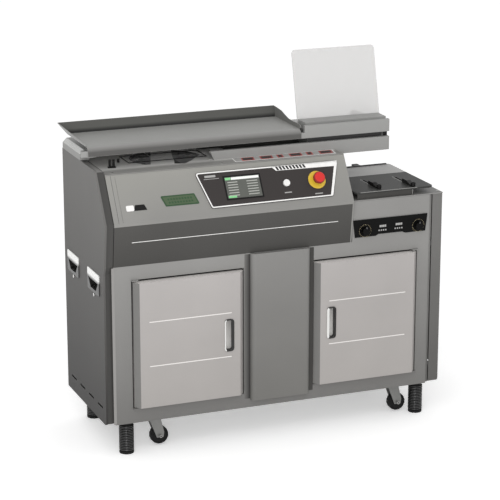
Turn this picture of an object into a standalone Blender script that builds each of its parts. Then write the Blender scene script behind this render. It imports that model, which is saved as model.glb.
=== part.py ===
"""Floor-standing thermal book binder, modelled as separate pieces at real size.

Metres, +Z up. Sizes below are measured from the outer face of the left side
panel (x = 0), the front plane of the cabinet's face frame (y = 0, +Y towards
the back) and the floor (z = 0). One empty then carries the whole machine so
that the middle of its outline stands over the origin.
"""
import math

import bmesh
import bpy
from mathutils import Matrix, Vector

# General
SHEET = 0.002              # folded steel sheet
FIT = 0.0003               # gap left between two faces that touch
OVERRUN = 0.005            # how far a cutter reaches past what it cuts
WELD = 0.0005              # how far two halves of one piece run into each other
ROUND_SIDES = 16           # sides of a turned piece
CORNER_STEPS = 3           # steps in a rounded corner
SAME_POINT = 1e-7          # points closer than this are one
FLAT_ANGLE = 0.05          # faces closer than this to one plane are one face

# Cabinet
CABINET_WIDTH = 1.150
CABINET_DEPTH = 0.415
CABINET_BASE = 0.110       # underside of the cabinet above the floor
PANEL_SETBACK = 0.004      # side panels start behind the face frame
LEFT_RIM = 0.006           # fold round the left side panel
RIGHT_RIM = 0.035          # deeper fold round the right side panel
PANEL_CORNER = 0.013       # rounded bottom front corner
LEFT_PANEL_TOP_RISE = 0.015
RIGHT_PANEL_TOP = 0.753

# Sloping housing over the left three quarters
HOUSING_LEFT = 0.031
HOUSING_RIGHT = 0.823
RIDGE_REACH = 0.018        # ridge in front of the face frame
LOWER_FASCIA_RISE = 0.138  # ridge above the fascia's foot
DECK_EDGE = 0.068          # front edge of the deck
UPPER_FASCIA_RISE = 0.137  # deck above the ridge
DECK_SHEET = 0.0025
FASCIA_FLANGE = 0.018      # folds along the fascia's edges
RIDGE_FOLD = 0.008
PANEL_PROUD = 0.005        # side panel's edge stands proud of the fascia
BULGE_FOOT = 0.600         # where the left panel's edge starts to lean out

# Face frame with two door openings
FRAME_LEFT = 0.030
FRAME_RIGHT_INSET = 0.0473  # from the right side's outer face
FRAME_DEPTH = 0.018
FRAME_SHEET = 0.0025
APRON_LEFT = 0.830
LEFT_OPENING = (0.087, 0.459)
RIGHT_OPENING_LEFT = 0.693
RIGHT_OPENING_INSET = 0.088
OPENING_BOTTOM = 0.158
OPENING_TOP = 0.576
FRAME_HEAD = 0.046         # face frame above the door openings, up to the lower fascia's foot

# Doors
DOOR_SIDE_GAP = 0.005
DOOR_TOP_GAP = 0.007
DOOR_BOTTOM_GAP = 0.004
DOOR_BEVEL = 0.015         # width of the sloping strip down each side
DOOR_PROUD = 0.021         # door face in front of the face frame
DOOR_STEP = 0.002
DOOR_INSIDE = 0.010        # how far the door's walls reach into the opening
DOOR_SHEET = 0.002
PIVOT_INSET = 0.010        # pivot from the door's hinge edge
PIVOT_SETFORWARD = 0.005   # pivot in front of the face frame
PIVOT_RADIUS = 0.0025
PIVOT_HOLE = 0.0030
PIVOT_BOSS = 0.0055
TAB_SHEET = 0.002
EMBOSS_HEIGHTS = (0.297, 0.441)
EMBOSS_SIDE = 0.030
EMBOSS_WIDTH = 0.003
EMBOSS_DEPTH = 0.001

# Door handles: recessed metal pulls
PULL_WIDTH = 0.032
PULL_BOTTOM = 0.315
PULL_TOP = 0.421
PULL_FROM_EDGE = 0.053     # middle of the pull from the door's free edge
PULL_CORNER = 0.010
PULL_PROUD = 0.003
PULL_RIM = 0.0025
PULL_DEPTH = 0.016
PULL_WALL = 0.0015
PULL_LIP = 0.004           # how far the front plate covers the pocket

# Centre panel between the doors
CENTRE_LEFT = 0.480
CENTRE_RIGHT = 0.680
CENTRE_BOTTOM = 0.136
CENTRE_PROUD = 0.018
CENTRE_CORNER = 0.015

# Base and inner frame
BASE_LIFT = 0.003          # base beams above the cabinet's underside
BEAM_HEIGHT = 0.040
BEAM_WALL = 0.003
FRONT_BEAM = (0.0185, 0.090)
REAR_BEAM_INSETS = (0.085, 0.005)
FLOOR_SHEET = 0.0025
SHELF_HEIGHT = 0.612
SHELF_SHEET = 0.003
PARTITIONS = (0.4675, 0.6845)
PARTITION_FLANGE = 0.016

# Levelling feet
FOOT_RADIUS = 0.022
FOOT_FLARE = 0.0235
FOOT_SIDE_INSETS = (0.077, 0.062)
FOOT_FRONT = 0.042
FOOT_BACK_INSET = 0.029
FOOT_RIBS = 6
FOOT_GROOVE = 0.0022
FOOT_RIB_SHARES = (0.3, 0.8)
FOOT_SOLE = 0.010
FOOT_SIDES = 12
STUD_RADIUS = 0.008
STUD_HOLE = 0.0085
STUD_LENGTH = 0.034

# Castors
WHEEL_RADIUS = 0.030
WHEEL_WIDTH = 0.024
WHEEL_HEIGHT = 0.036       # axle above the floor: the castors hang just clear of it
WHEEL_TRAIL = 0.019        # axle beside the swivel's axis
WHEEL_SIDES = 16
TYRE_SHARES = (0.78, 0.84, 0.95)
TREAD_SHARE = 0.6
HUB_RADIUS = 0.011
HUB_WIDTH = 0.026
AXLE_RADIUS = 0.0035
AXLE_HOLE = 0.0042
CASTOR_SIDE_INSETS = (0.173, 0.142)
CASTOR_FRONT = 0.065
CASTOR_BACK_INSET = 0.065
SWIVEL_RADIUS = 0.024
SWIVEL_SHEET = 0.004
STEM_RADIUS = 0.006
STEM_HOLE = 0.0068
STEM_LENGTH = 0.014        # above the beam's underside
FORK_SHEET = 0.0025
FORK_CROWN_RADIUS = 0.020
FORK_CROWN_HEIGHT = 0.010
FORK_CHEEK_SHARES = (0.9, 1.2)
FORK_GAP = 0.0012          # wheel hub to fork cheek

# Table at the right: cover nipping station
STATION_SHEET = 0.003
TABLE_TOP = 0.780
TABLE_SHEET = 0.006
TABLE_LEFT = 0.845
TABLE_RIGHT = 1.118
TABLE_FRONT = 0.006
TABLE_SPLIT = 0.210        # where the fixed front plate ends
TABLE_BACK = 0.339
TABLE_CHAMFER = 0.012
RAIL_WIDTH = 0.020
RAIL_INSETS = (0.025, 0.090)
RAIL_FRONT = 0.012
RAIL_BACK_INSET = 0.015
GUIDE_SLOTS = ((0.937, 0.088, 0.155), (1.052, 0.075, 0.154))
GUIDE_SLOT_WIDTH = 0.008
GUIDE_STEM_RADIUS = 0.003
GUIDE_WIDTH = 0.015
GUIDE_LENGTH = 0.060
GUIDE_HEIGHT = 0.012
GUIDE_NECK = 0.009
GUIDE_FOOT_RADIUS = 0.006
GUIDE_FOOT_HEIGHT = 0.002

# Dial plate on the apron
DIAL_PLATE_SHEET = 0.003
DIAL_PLATE_TOP = 0.692
DIAL_PLATE_BOTTOM = 0.635
DIAL_PLATE_LEFT = 0.832
DIAL_PLATE_RIGHT = 1.0945
DIAL_PLATE_LEAN = 0.007
DIAL_NOTCH_RISE = 0.005
DIAL_NOTCH_SHARES = (0.30, 0.34, 0.66, 0.70)
DIAL_PLACES = (0.874, 1.062)
DIAL_HEIGHT = 0.655
DIAL_RADIUS = 0.014
DIAL_LENGTH = 0.013
DIAL_FLUTES = 9
DIAL_FLUTE = 0.0008
DIAL_RING = 0.0175
DIAL_RING_SHEET = 0.001
DIAL_SHAFT = 0.003
DIAL_HOLE = 0.0036

# Control panel on the fascia, given along the fascia (x) and up its slope
PANEL_SHEET = 0.003
PANEL_TOP_LEFT = (0.316, 0.141)
PANEL_TOP_RIGHT = (0.800, 0.141)
PANEL_LOW_RIGHT = (0.760, 0.024)
PANEL_LOW_LEFT = (0.351, 0.022)
PANEL_CORNERS = 0.008
SCREEN_LEFT = 0.405
SCREEN_RIGHT = 0.5285
SCREEN_LOW = 0.0435
SCREEN_HIGH = 0.122
SCREEN_PROUD = 0.0015
SCREEN_BODY = 0.018
SCREEN_RIM = 0.004
SCREEN_SINK = 0.0008
BUTTON_PLACE = (0.611, 0.081)
BUTTON_RADIUS = 0.011
BUTTON_PROUD = 0.005
BUTTON_STEM = 0.005
BUTTON_STEM_LENGTH = 0.016
STOP_PLACE = (0.715, 0.082)
STOP_RING = 0.0295
STOP_RING_SHEET = 0.003
STOP_COLLAR = 0.013
STOP_COLLAR_HEIGHT = 0.012
STOP_BORE = 0.0075
STOP_HEAD = 0.0190
STOP_HEAD_HEIGHT = 0.012
STOP_HEAD_SHARES = (0.86, 0.6)
STOP_STEM = 0.0065
STOP_STEM_LENGTH = 0.026
STOP_TRAVEL = 0.005
HOLE_PLAY = 0.0008
FASCIA_CUT_MARGIN = 0.004

# Deck and milling cutter
DECK_STEP = 0.415          # the deck runs further back to the left of this
DECK_BACK_INSET = 0.055
CUTTER_PLACE = (0.283, 0.225)
CUTTER_RIM = 0.017         # deck left behind the cutter's opening
CUTTER_GAP = 0.010         # between the disc and the opening's edge
CUTTER_DISC = 0.008
CUTTER_SINK = 0.0035       # disc's top under the deck's top
CUTTER_TEETH = 16
CUTTER_TOOTH = 0.010
CUTTER_TOOTH_RISE = 0.002
CUTTER_SHAFT = 0.012
CUTTER_SHAFT_LENGTH = 0.040
CUTTER_STRAP = (0.242, 0.300)
CUTTER_HUB = 0.030
MOTOR_RADIUS = 0.060
MOTOR_HEAD = 0.030
MOTOR_BORE = 0.0127
MOTOR_FLANGE = 0.080
MOTOR_FLANGE_SHEET = 0.006
MOTOR_FINS = 8
MOTOR_FIN_RISE = 0.004
GUARD_LEFT = 0.148
GUARD_RIGHT = 0.408
GUARD_FRONT = 0.190
GUARD_BACK = 0.285
GUARD_SHEET = 0.003
GUARD_POST = 0.007
GUARD_POST_RADIUS = 0.004
GUARD_POST_SIDES = 8
GUARD_CORNER = 0.006

# Glue station
TANK_LEFT = 0.470
TANK_RIGHT = 0.660
TANK_FRONT = 0.156
TANK_BACK = 0.275
TANK_BOTTOM = 0.815
TANK_TOP_RISE = -0.0185
TANK_WALL = 0.004
TANK_LEG = 0.016
ROLLER_PLACES = (0.525, 0.605)
ROLLER_HEIGHT = 0.862
ROLLER_RADIUS = 0.028
ROLLER_LENGTH = 0.090
ROLLER_AXLE = 0.005
ROLLER_BORE = 0.0056
ROLLER_WHEEL = 0.018
ROLLER_WHEEL_WIDTH = 0.006
ROLLER_OVERHANG = 0.010

# Beams across the top
BEAM_FRONT = 0.137
BEAM_BACK = 0.1495
BEAM_SHEET = 0.0025
BEAM_RIGHT = 1.020
LOWER_BEAM_LEFT = 0.400
LOWER_BEAM_BOTTOM_RISE = -0.017
LOWER_BEAM_TOP_RISE = 0.0275
LOWER_BEAM_RAKE = 0.020
UPPER_BEAM_LEFT = -0.020
UPPER_BEAM_BOTTOM_RISE = 0.0435
UPPER_BEAM_TOP_RISE = 0.0615
UPPER_BEAM_STEP = 0.722
UPPER_BEAM_HIGH_RISE = 0.084

# Rear beam and end pieces
BACK_BEAM_INSETS = (0.043, 0.010)
BACK_BEAM_BOTTOM_RISE = -0.0012
BACK_BEAM_TOP_RISE = 0.045
BACK_BEAM_SHEET = 0.003
END_PLATE_LEFT = 1.003
END_PLATE_RIGHT = 1.018
END_PLATE_BOTTOM_RISE = -0.012
END_PLATE_TOP_RISE = 0.0605
END_BLOCK_WIDTH = 0.030
END_BLOCK_FRONT = 0.222
END_BLOCK_BACK_INSET = 0.005
END_BLOCK_TOP_RISE = 0.048
END_BLOCK_CHAMFER = 0.013
TONGUE_WIDTH = 0.024
TONGUE_HEIGHT = 0.008
ROD_RADIUS = 0.008
ROD_BORE = 0.0085
ROD_HEIGHT_RISE = 0.034
ROD_ROWS = (0.250, 0.335)
ROD_SEAT = 0.010

# Clamp carriage
CARRIAGE_LEFT = 0.735
CARRIAGE_RIGHT = 0.995
CARRIAGE_FRONT = 0.215
CARRIAGE_BACK = 0.356
CARRIAGE_BOTTOM_RISE = 0.017
CARRIAGE_TOP_RISE = 0.058
CARRIAGE_ARM = 0.0105
CARRIAGE_BORE = 0.0088
WINDOW_INSET = 0.050
WINDOW_FRONT = 0.268
WINDOW_BACK = 0.317
JAW_BOTTOM_RISE = 0.011
JAW_TOP_RISE = 0.06
JAW_SHEET = 0.004
JAW_GAP = 0.0008           # jaw plate behind the beam
BOOK_GAP = 0.009           # jaws at rest
MOVING_JAW_SHEET = 0.010
JAW_END_GAP = 0.001
JAW_TRAVEL = 0.035
JAW_PINS = (0.790, 0.940)
JAW_PIN_HEIGHT_RISE = 0.0508
JAW_PIN_RADIUS = 0.003
JAW_PIN_BORE = 0.0034
JAW_PIN_REACH = 0.022
JAW_PIN_ROOM = 0.004

# Back stop and clear paper support
STOP_STRIP_LEFT = 0.735
STOP_STRIP_RIGHT = 1.019
STOP_STRIP_FRONT = 0.163
STOP_STRIP_BACK = 0.222
STOP_STRIP_BOTTOM_RISE = 0.0635
STOP_STRIP_TOP_RISE = 0.088
STOP_STRIP_SHEET = 0.0025
STOP_ARM_WIDTH = 0.015
STOP_ARM_SHEET = 0.003
STOP_ARM_FOOT = 0.024
SUPPORT_LEFT = 0.734
SUPPORT_RIGHT = 1.026
SUPPORT_HEIGHT = 0.246
SUPPORT_SHEET = 0.004
SUPPORT_LEAN = 13.5
SUPPORT_CORNER = 0.012

# Tray cover over the clamp's path
TRAY_FLOOR_LEFT = 0.000
TRAY_FLOOR_RIGHT = 0.708
TRAY_FRONT = 0.133         # rolled front edge, just before the beams
TRAY_ROLL = 0.020          # radius of the front edge
TRAY_ROLL_STEPS = 5
TRAY_FOOT_RISE = 0.0455         # lower edge of the front skirt
TRAY_WALL_FRONT = 0.1375
TRAY_FLOOR_BACK_INSET = 0.063
TRAY_FLOOR_RISE = 0.073
TRAY_RIM = 0.032
TRAY_FLARE_LEFT = 0.024
TRAY_FLARE_RIGHT = 0.006
TRAY_FLARE_BACK = 0.027
TRAY_SHEET = 0.002
TRAY_WALL_SHARES = ((0.0, 1.0), (0.12, 0.97), (0.28, 0.88), (0.42, 0.66), (0.55, 0.48), (0.70, 0.42),
                    (0.85, 0.46), (0.95, 0.40), (1.0, 0.25))
HINGE_ROW_INSET = 0.025
HINGE_HEIGHT_RISE = 0.0545
HINGE_PIN = 0.003
HINGE_BORE = 0.0037
HINGE_BARREL = 0.0065
HINGE_LENGTH = 0.050
HINGE_EAR = 0.004
HINGE_EAR_GAP = 0.0006
HINGE_PLACES = (0.105, 0.610)
HINGE_STRAP = 0.003
HINGE_STRAP_REACH = 0.020

# Side handles and slots
GRIP_WIDTH = 0.118
GRIP_BOTTOM = 0.520
GRIP_TOP = 0.588
GRIP_ROWS = (0.103, 0.318)
GRIP_PROUD = 0.0028
GRIP_RIM = 0.008
GRIP_DEPTH = 0.026
GRIP_WALL = 0.0018
GRIP_PLATE_SHARE = 0.42    # how much of the pocket the grip plate covers
GRIP_TAPER = 0.022
GRIP_CORNER = 0.006
SLOT_LENGTH = 0.052
SLOT_HEIGHT = 0.006
SLOT_LEVEL = 0.160
SLOT_ROWS = (0.063, 0.158, 0.250, 0.344)

# Back panel
BACK_PANEL_SHEET = 0.0025
BACK_PANEL_TOP_RISE = -0.0015
BACK_PANEL_FLANGE = 0.030
VENT_PLACES = (0.250, 0.620)
VENT_WIDTH = 0.140
VENT_HEIGHT = 0.005
VENT_PITCH = 0.016
VENT_COUNT = 7
VENT_BOTTOM = 0.690
INLET_PLACE = (0.100, 0.215)
INLET_WIDTH = 0.048
INLET_HEIGHT = 0.030
INLET_PROUD = 0.003
INLET_BODY = 0.028
INLET_RIM = 0.006
INLET_SOCKET = 0.018

# Trim strips beside the side panels
TRIM_SETBACK = 0.0065
TRIM_RETURN = 0.300


def clear_scene():
    """Remove whatever the file opened with."""
    for thing in list(bpy.data.objects):
        bpy.data.objects.remove(thing, do_unlink=True)


def srgb(code):
    """Turn a written colour into linear values."""
    parts = [int(code[place:place + 2], 16) / 255 for place in (0, 2, 4)]
    return [value / 12.92 if value <= 0.04045 else ((value + 0.055) / 1.055) ** 2.4 for value in parts]


def material(name, code, roughness, metallic=0.0, alpha=1.0):
    """A plain Principled material."""
    made = bpy.data.materials.get(name)
    if made:
        return made
    made = bpy.data.materials.new(name)
    made.use_nodes = True
    shader = made.node_tree.nodes["Principled BSDF"]
    shader.inputs["Base Color"].default_value = (*srgb(code), 1.0)
    shader.inputs["Roughness"].default_value = roughness
    shader.inputs["Metallic"].default_value = metallic
    shader.inputs["Alpha"].default_value = alpha
    return made


# Outlines

def rectangle(low_u, high_u, low_v, high_v):
    """Corners of a rectangle, going round the same way as a circle."""
    return [(low_u, low_v), (high_u, low_v), (high_u, high_v), (low_u, high_v)]


def circle(centre, radius, sides=ROUND_SIDES):
    """Points of a circle, the first one half a step round."""
    points = []
    for step in range(sides):
        angle = 2 * math.pi * (step + 0.5) / sides
        points.append((centre[0] + radius * math.cos(angle), centre[1] + radius * math.sin(angle)))
    return points


def rounded(points, radii, steps=CORNER_STEPS):
    """Round the corners of an outline; radii is one number or a list with one for each corner."""
    if not isinstance(radii, (list, tuple)):
        radii = [radii] * len(points)
    made = []
    for place, radius in enumerate(radii):
        corner = Vector(points[place])
        if radius <= 0:
            made.append(tuple(corner))
            continue
        before = (Vector(points[place - 1]) - corner).normalized()
        after = (Vector(points[(place + 1) % len(points)]) - corner).normalized()
        half = before.angle(after) / 2
        reach = radius / math.tan(half)
        centre = corner + (before + after).normalized() * (radius / math.sin(half))
        start = corner + before * reach - centre
        turn = start.angle_signed(corner + after * reach - centre)
        for step in range(steps + 1):
            angle = -turn * step / steps
            made.append(tuple(centre + Matrix.Rotation(angle, 2) @ start))
    return made


def corner_shift(before, corner, after, distance):
    """Where a corner goes when both lines through it move left by a distance."""
    first = (Vector(corner) - Vector(before)).normalized()
    second = (Vector(after) - Vector(corner)).normalized()
    normal_one = Vector((-first.y, first.x))
    normal_two = Vector((-second.y, second.x))
    middle = (normal_one + normal_two).normalized()
    return tuple(Vector(corner) + middle * (distance / middle.dot(normal_one)))


def inset(points, distance):
    """Move a closed outline inwards by a distance."""
    count = len(points)
    area = sum(points[i][0] * points[(i + 1) % count][1] - points[(i + 1) % count][0] * points[i][1]
               for i in range(count))
    side = distance if area > 0 else -distance
    return [corner_shift(points[i - 1], points[i], points[(i + 1) % count], side) for i in range(count)]


def folded(line, thickness):
    """Section of a folded sheet: an open line of points and its copy to the left of it."""
    other = []
    last = len(line) - 1
    for place, point in enumerate(line):
        if place == 0:
            ahead = (Vector(line[1]) - Vector(point)).normalized()
            other.append((point[0] - ahead.y * thickness, point[1] + ahead.x * thickness))
        elif place == last:
            ahead = (Vector(point) - Vector(line[place - 1])).normalized()
            other.append((point[0] - ahead.y * thickness, point[1] + ahead.x * thickness))
        else:
            other.append(corner_shift(line[place - 1], point, line[place + 1], thickness))
    return list(line) + other[::-1]


# Solids

def prism(outline, axis, low, high):
    """Closed outline drawn square to an axis and carried along it."""
    places = {"X": lambda u, v, w: (w, u, v), "Y": lambda u, v, w: (u, w, v), "Z": lambda u, v, w: (u, v, w)}
    put = places[axis]
    mesh = bmesh.new()
    near = [mesh.verts.new(put(u, v, low)) for u, v in outline]
    far = [mesh.verts.new(put(u, v, high)) for u, v in outline]
    mesh.faces.new(near)
    mesh.faces.new(far[::-1])
    count = len(outline)
    for i in range(count):
        mesh.faces.new((near[i], near[(i + 1) % count], far[(i + 1) % count], far[i]))
    bmesh.ops.recalc_face_normals(mesh, faces=mesh.faces)
    return mesh


def box(x_range, y_range, z_range):
    """Rectangular block between three pairs of limits."""
    return prism(rectangle(*x_range, *y_range), "Z", *z_range)


def turned(profile, sides=ROUND_SIDES):
    """Solid turned about Z from a line of (radius, height) points that starts and ends on the axis."""
    mesh = bmesh.new()
    rings = []
    for radius, height in profile:
        if radius == 0:
            rings.append([mesh.verts.new((0, 0, height))])
        else:
            rings.append([mesh.verts.new((x, y, height)) for x, y in circle((0, 0), radius, sides)])
    for lower, upper in zip(rings, rings[1:]):
        for i in range(sides):
            j = (i + 1) % sides
            if len(lower) == 1 and len(upper) > 1:
                mesh.faces.new((lower[0], upper[i], upper[j]))
            elif len(upper) == 1 and len(lower) > 1:
                mesh.faces.new((lower[i], lower[j], upper[0]))
            elif len(lower) > 1:
                mesh.faces.new((lower[i], lower[j], upper[j], upper[i]))
    bmesh.ops.recalc_face_normals(mesh, faces=mesh.faces)
    return mesh


def cylinder(axis, centre, radius, low, high, sides=ROUND_SIDES):
    """Round bar along an axis; centre is given in the other two directions."""
    return prism(circle(centre, radius, sides), axis, low, high)


def combine(first, second, operation):
    """Boolean of two meshes; both are used up."""
    objects = []
    for source in (first, second):
        data = bpy.data.meshes.new("work")
        source.to_mesh(data)
        source.free()
        thing = bpy.data.objects.new("work", data)
        bpy.context.scene.collection.objects.link(thing)
        objects.append(thing)
    modifier = objects[0].modifiers.new("work", "BOOLEAN")
    modifier.operation = operation
    modifier.object = objects[1]
    evaluated = objects[0].evaluated_get(bpy.context.evaluated_depsgraph_get())
    data = bpy.data.meshes.new_from_object(evaluated)
    made = bmesh.new()
    made.from_mesh(data)
    bpy.data.meshes.remove(data)
    for thing in objects:
        data = thing.data
        bpy.data.objects.remove(thing, do_unlink=True)
        bpy.data.meshes.remove(data)
    bmesh.ops.dissolve_degenerate(made, edges=made.edges, dist=SAME_POINT)
    bmesh.ops.dissolve_limit(made, angle_limit=math.radians(FLAT_ANGLE), verts=made.verts, edges=made.edges)
    return made


def less(body, *cutters):
    """A body with pieces cut out of it."""
    for cutter in cutters:
        body = combine(body, cutter, "DIFFERENCE")
    return body


def plus(body, *others):
    """A body with others welded to it."""
    for other in others:
        body = combine(body, other, "UNION")
    return body


def beside(*meshes):
    """Separate solids that share one node."""
    made = bmesh.new()
    for mesh in meshes:
        data = bpy.data.meshes.new("work")
        mesh.to_mesh(data)
        mesh.free()
        made.from_mesh(data)
        bpy.data.meshes.remove(data)
    return made


def moved(mesh, matrix):
    """A mesh turned or shifted by a matrix."""
    bmesh.ops.transform(mesh, matrix=matrix, verts=mesh.verts)
    return mesh


def pan(outline, axis, face, depth, wall):
    """Folded tray: a plate at face with a rim that runs to depth, open at the back."""
    outward = -1 if depth > face else 1
    solid = prism(outline, axis, min(face, depth), max(face, depth))
    pocket = prism(inset(outline, wall), axis, min(face - outward * wall, depth - outward * OVERRUN),
                   max(face - outward * wall, depth - outward * OVERRUN))
    return less(solid, pocket)


def piece(name, mesh, finish, origin=(0, 0, 0), smooth=None):
    """Make the named object, with its origin at a given point of the machine."""
    bmesh.ops.translate(mesh, vec=-Vector(origin), verts=mesh.verts)
    bmesh.ops.triangulate(mesh, faces=mesh.faces)
    data = bpy.data.meshes.new(name)
    mesh.to_mesh(data)
    mesh.free()
    data.materials.append(material(*finish))
    if smooth:
        data.shade_smooth()
        data.set_sharp_from_angle(angle=math.radians(smooth))
    made = bpy.data.objects.new(name, data)
    bpy.context.scene.collection.objects.link(made)
    made.parent = machine
    made.location = origin
    return made


# Finishes
FRAME_GREY = ("frame_grey", "8c8b89", 0.5)
DOOR_GREY = ("door_grey", "b5b1ae", 0.5)
SIDE_GREY = ("side_grey", "72716f", 0.5)
FASCIA_GREY = ("fascia_grey", "9c9b98", 0.5)
DARK_FASCIA = ("dark_fascia", "53524f", 0.5)
TRIM_DARK = ("trim_dark", "474644", 0.5)
BEAM_GREY = ("beam_grey", "a3a2a0", 0.5)
INNER_STEEL = ("inner_steel", "8a8a88", 0.4, 0.6)
PLATED = ("plated_metal", "c8c8c6", 0.15, 1.0)
BLACK = ("black_plastic", "1c1b1b", 0.45)
DARK_GLOSS = ("dark_gloss", "3c3b3a", 0.2)
YELLOW = ("signal_yellow", "e5c13c", 0.4)
RED = ("signal_red", "c22a27", 0.35)
WHITE = ("white_plastic", "ecebe9", 0.4)
CLEAR = ("clear_plate", "d9d8d7", 0.1, 0.0, 0.5)
RUBBER = ("black_rubber", "181818", 0.7)
CASTOR_GREY = ("castor_grey", "7a7a78", 0.4, 0.5)
CUTTER_STEEL = ("cutter_steel", "5a5958", 0.3, 0.9)

FASCIA_FOOT = OPENING_TOP + FRAME_HEAD
RIDGE_HEIGHT = FASCIA_FOOT + LOWER_FASCIA_RISE
DECK_TOP = RIDGE_HEIGHT + UPPER_FASCIA_RISE
SLOPE = (DECK_EDGE + RIDGE_REACH) / (DECK_TOP - RIDGE_HEIGHT)
SHELF_TOP = SHELF_HEIGHT + SHELF_SHEET
BASE_BOTTOM = CABINET_BASE + BASE_LIFT
BASE_TOP = BASE_BOTTOM + BEAM_HEIGHT
FLOOR_TOP = BASE_TOP + FLOOR_SHEET
FRAME_RIGHT = CABINET_WIDTH - FRAME_RIGHT_INSET
RIGHT_OPENING = (RIGHT_OPENING_LEFT, CABINET_WIDTH - RIGHT_OPENING_INSET)
REAR_BEAM = [CABINET_DEPTH - inset_from_back for inset_from_back in REAR_BEAM_INSETS]
FOOT_PLACES = (FOOT_SIDE_INSETS[0], CABINET_WIDTH - FOOT_SIDE_INSETS[1])
FOOT_ROWS = (FOOT_FRONT, CABINET_DEPTH - FOOT_BACK_INSET)
CASTOR_PLACES = (CASTOR_SIDE_INSETS[0], CABINET_WIDTH - CASTOR_SIDE_INSETS[1])
CASTOR_ROWS = (CASTOR_FRONT, CABINET_DEPTH - CASTOR_BACK_INSET)
DECK_BACK = CABINET_DEPTH - DECK_BACK_INSET
BACK_BEAM_FRONT, BACK_BEAM_BACK = [CABINET_DEPTH - inset_from_back for inset_from_back in BACK_BEAM_INSETS]
LOWER_BEAM_BOTTOM = DECK_TOP + LOWER_BEAM_BOTTOM_RISE
LOWER_BEAM_TOP = DECK_TOP + LOWER_BEAM_TOP_RISE
UPPER_BEAM_BOTTOM = DECK_TOP + UPPER_BEAM_BOTTOM_RISE
UPPER_BEAM_TOP = DECK_TOP + UPPER_BEAM_TOP_RISE
UPPER_BEAM_HIGH = DECK_TOP + UPPER_BEAM_HIGH_RISE
BACK_BEAM_BOTTOM = DECK_TOP + BACK_BEAM_BOTTOM_RISE
BACK_BEAM_TOP = DECK_TOP + BACK_BEAM_TOP_RISE
END_PLATE_BOTTOM = DECK_TOP + END_PLATE_BOTTOM_RISE
END_PLATE_TOP = DECK_TOP + END_PLATE_TOP_RISE
END_BLOCK_TOP = DECK_TOP + END_BLOCK_TOP_RISE
ROD_HEIGHT = DECK_TOP + ROD_HEIGHT_RISE
CARRIAGE_BOTTOM = DECK_TOP + CARRIAGE_BOTTOM_RISE
CARRIAGE_TOP = DECK_TOP + CARRIAGE_TOP_RISE
JAW_BOTTOM = DECK_TOP + JAW_BOTTOM_RISE
JAW_TOP = DECK_TOP + JAW_TOP_RISE
TANK_TOP = DECK_TOP + TANK_TOP_RISE
TRAY_FOOT = DECK_TOP + TRAY_FOOT_RISE
TRAY_FLOOR = DECK_TOP + TRAY_FLOOR_RISE
HINGE_HEIGHT = DECK_TOP + HINGE_HEIGHT_RISE
LEFT_PANEL_TOP = DECK_TOP + LEFT_PANEL_TOP_RISE
BACK_PANEL_TOP = DECK_TOP + BACK_PANEL_TOP_RISE
JAW_PIN_HEIGHT = DECK_TOP + JAW_PIN_HEIGHT_RISE
STOP_STRIP_TOP = DECK_TOP + STOP_STRIP_TOP_RISE
STOP_STRIP_BOTTOM = DECK_TOP + STOP_STRIP_BOTTOM_RISE
HINGE_ROW = CABINET_DEPTH - HINGE_ROW_INSET
TRAY_FLOOR_BACK = CABINET_DEPTH - TRAY_FLOOR_BACK_INSET
END_BLOCK_BACK = CABINET_DEPTH - END_BLOCK_BACK_INSET
RAIL_BACK = CABINET_DEPTH - RAIL_BACK_INSET
CUTTER_OPENING = DECK_BACK - CUTTER_RIM - CUTTER_PLACE[1]
CUTTER_RADIUS = CUTTER_OPENING - CUTTER_GAP
DOOR_BOTTOM = OPENING_BOTTOM + DOOR_BOTTOM_GAP
DOOR_TOP = OPENING_TOP - DOOR_TOP_GAP
DOOR_SPANS = {"left": (LEFT_OPENING[0] + DOOR_SIDE_GAP, LEFT_OPENING[1] - DOOR_SIDE_GAP),
              "right": (RIGHT_OPENING[0] + DOOR_SIDE_GAP, RIGHT_OPENING[1] - DOOR_SIDE_GAP)}
JAW_FRONT = BEAM_BACK + JAW_GAP
MOVING_JAW_FRONT = JAW_FRONT + JAW_SHEET + BOOK_GAP

# Middle of the machine's outline: the tray reaches furthest left, the right handles furthest
# right, the ridge of the left panel furthest forward and the cabinet's back furthest back
OUTLINE_LEFT = TRAY_FLOOR_LEFT - TRAY_FLARE_LEFT - TRAY_SHEET / 4
OUTLINE_RIGHT = CABINET_WIDTH + GRIP_PROUD + FIT
OUTLINE_FRONT = -max(RIDGE_REACH + PANEL_PROUD, DOOR_PROUD + FIT + PULL_PROUD)
OUTLINE_BACK = CABINET_DEPTH - FIT + INLET_PROUD

clear_scene()
machine = bpy.data.objects.new("machine", None)
bpy.context.scene.collection.objects.link(machine)
machine.location = (-(OUTLINE_LEFT + OUTLINE_RIGHT) / 2, -(OUTLINE_FRONT + OUTLINE_BACK) / 2, 0)


def slope_matrix(along, up):
    """Frame of a point on the fascia: its own X along the machine, Y up the slope, Z out of the face."""
    climb = Vector((0, DECK_EDGE + RIDGE_REACH, DECK_TOP - RIDGE_HEIGHT)).normalized()
    outward = Vector((1, 0, 0)).cross(climb)
    place = Vector((along, -RIDGE_REACH, RIDGE_HEIGHT)) + climb * up
    turned_frame = Matrix((Vector((1, 0, 0)), climb, outward)).transposed().to_4x4()
    return Matrix.Translation(place) @ turned_frame


def panel_edge_line():
    """Front edge of the left side panel, from the bottom up, as (y, z)."""
    ridge = -(RIDGE_REACH + PANEL_PROUD)
    return [(PANEL_SETBACK, CABINET_BASE), (PANEL_SETBACK, BULGE_FOOT), (-PANEL_PROUD, FASCIA_FOOT),
            (ridge, RIDGE_HEIGHT), (ridge + (LEFT_PANEL_TOP - RIDGE_HEIGHT) * SLOPE, LEFT_PANEL_TOP)]


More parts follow.
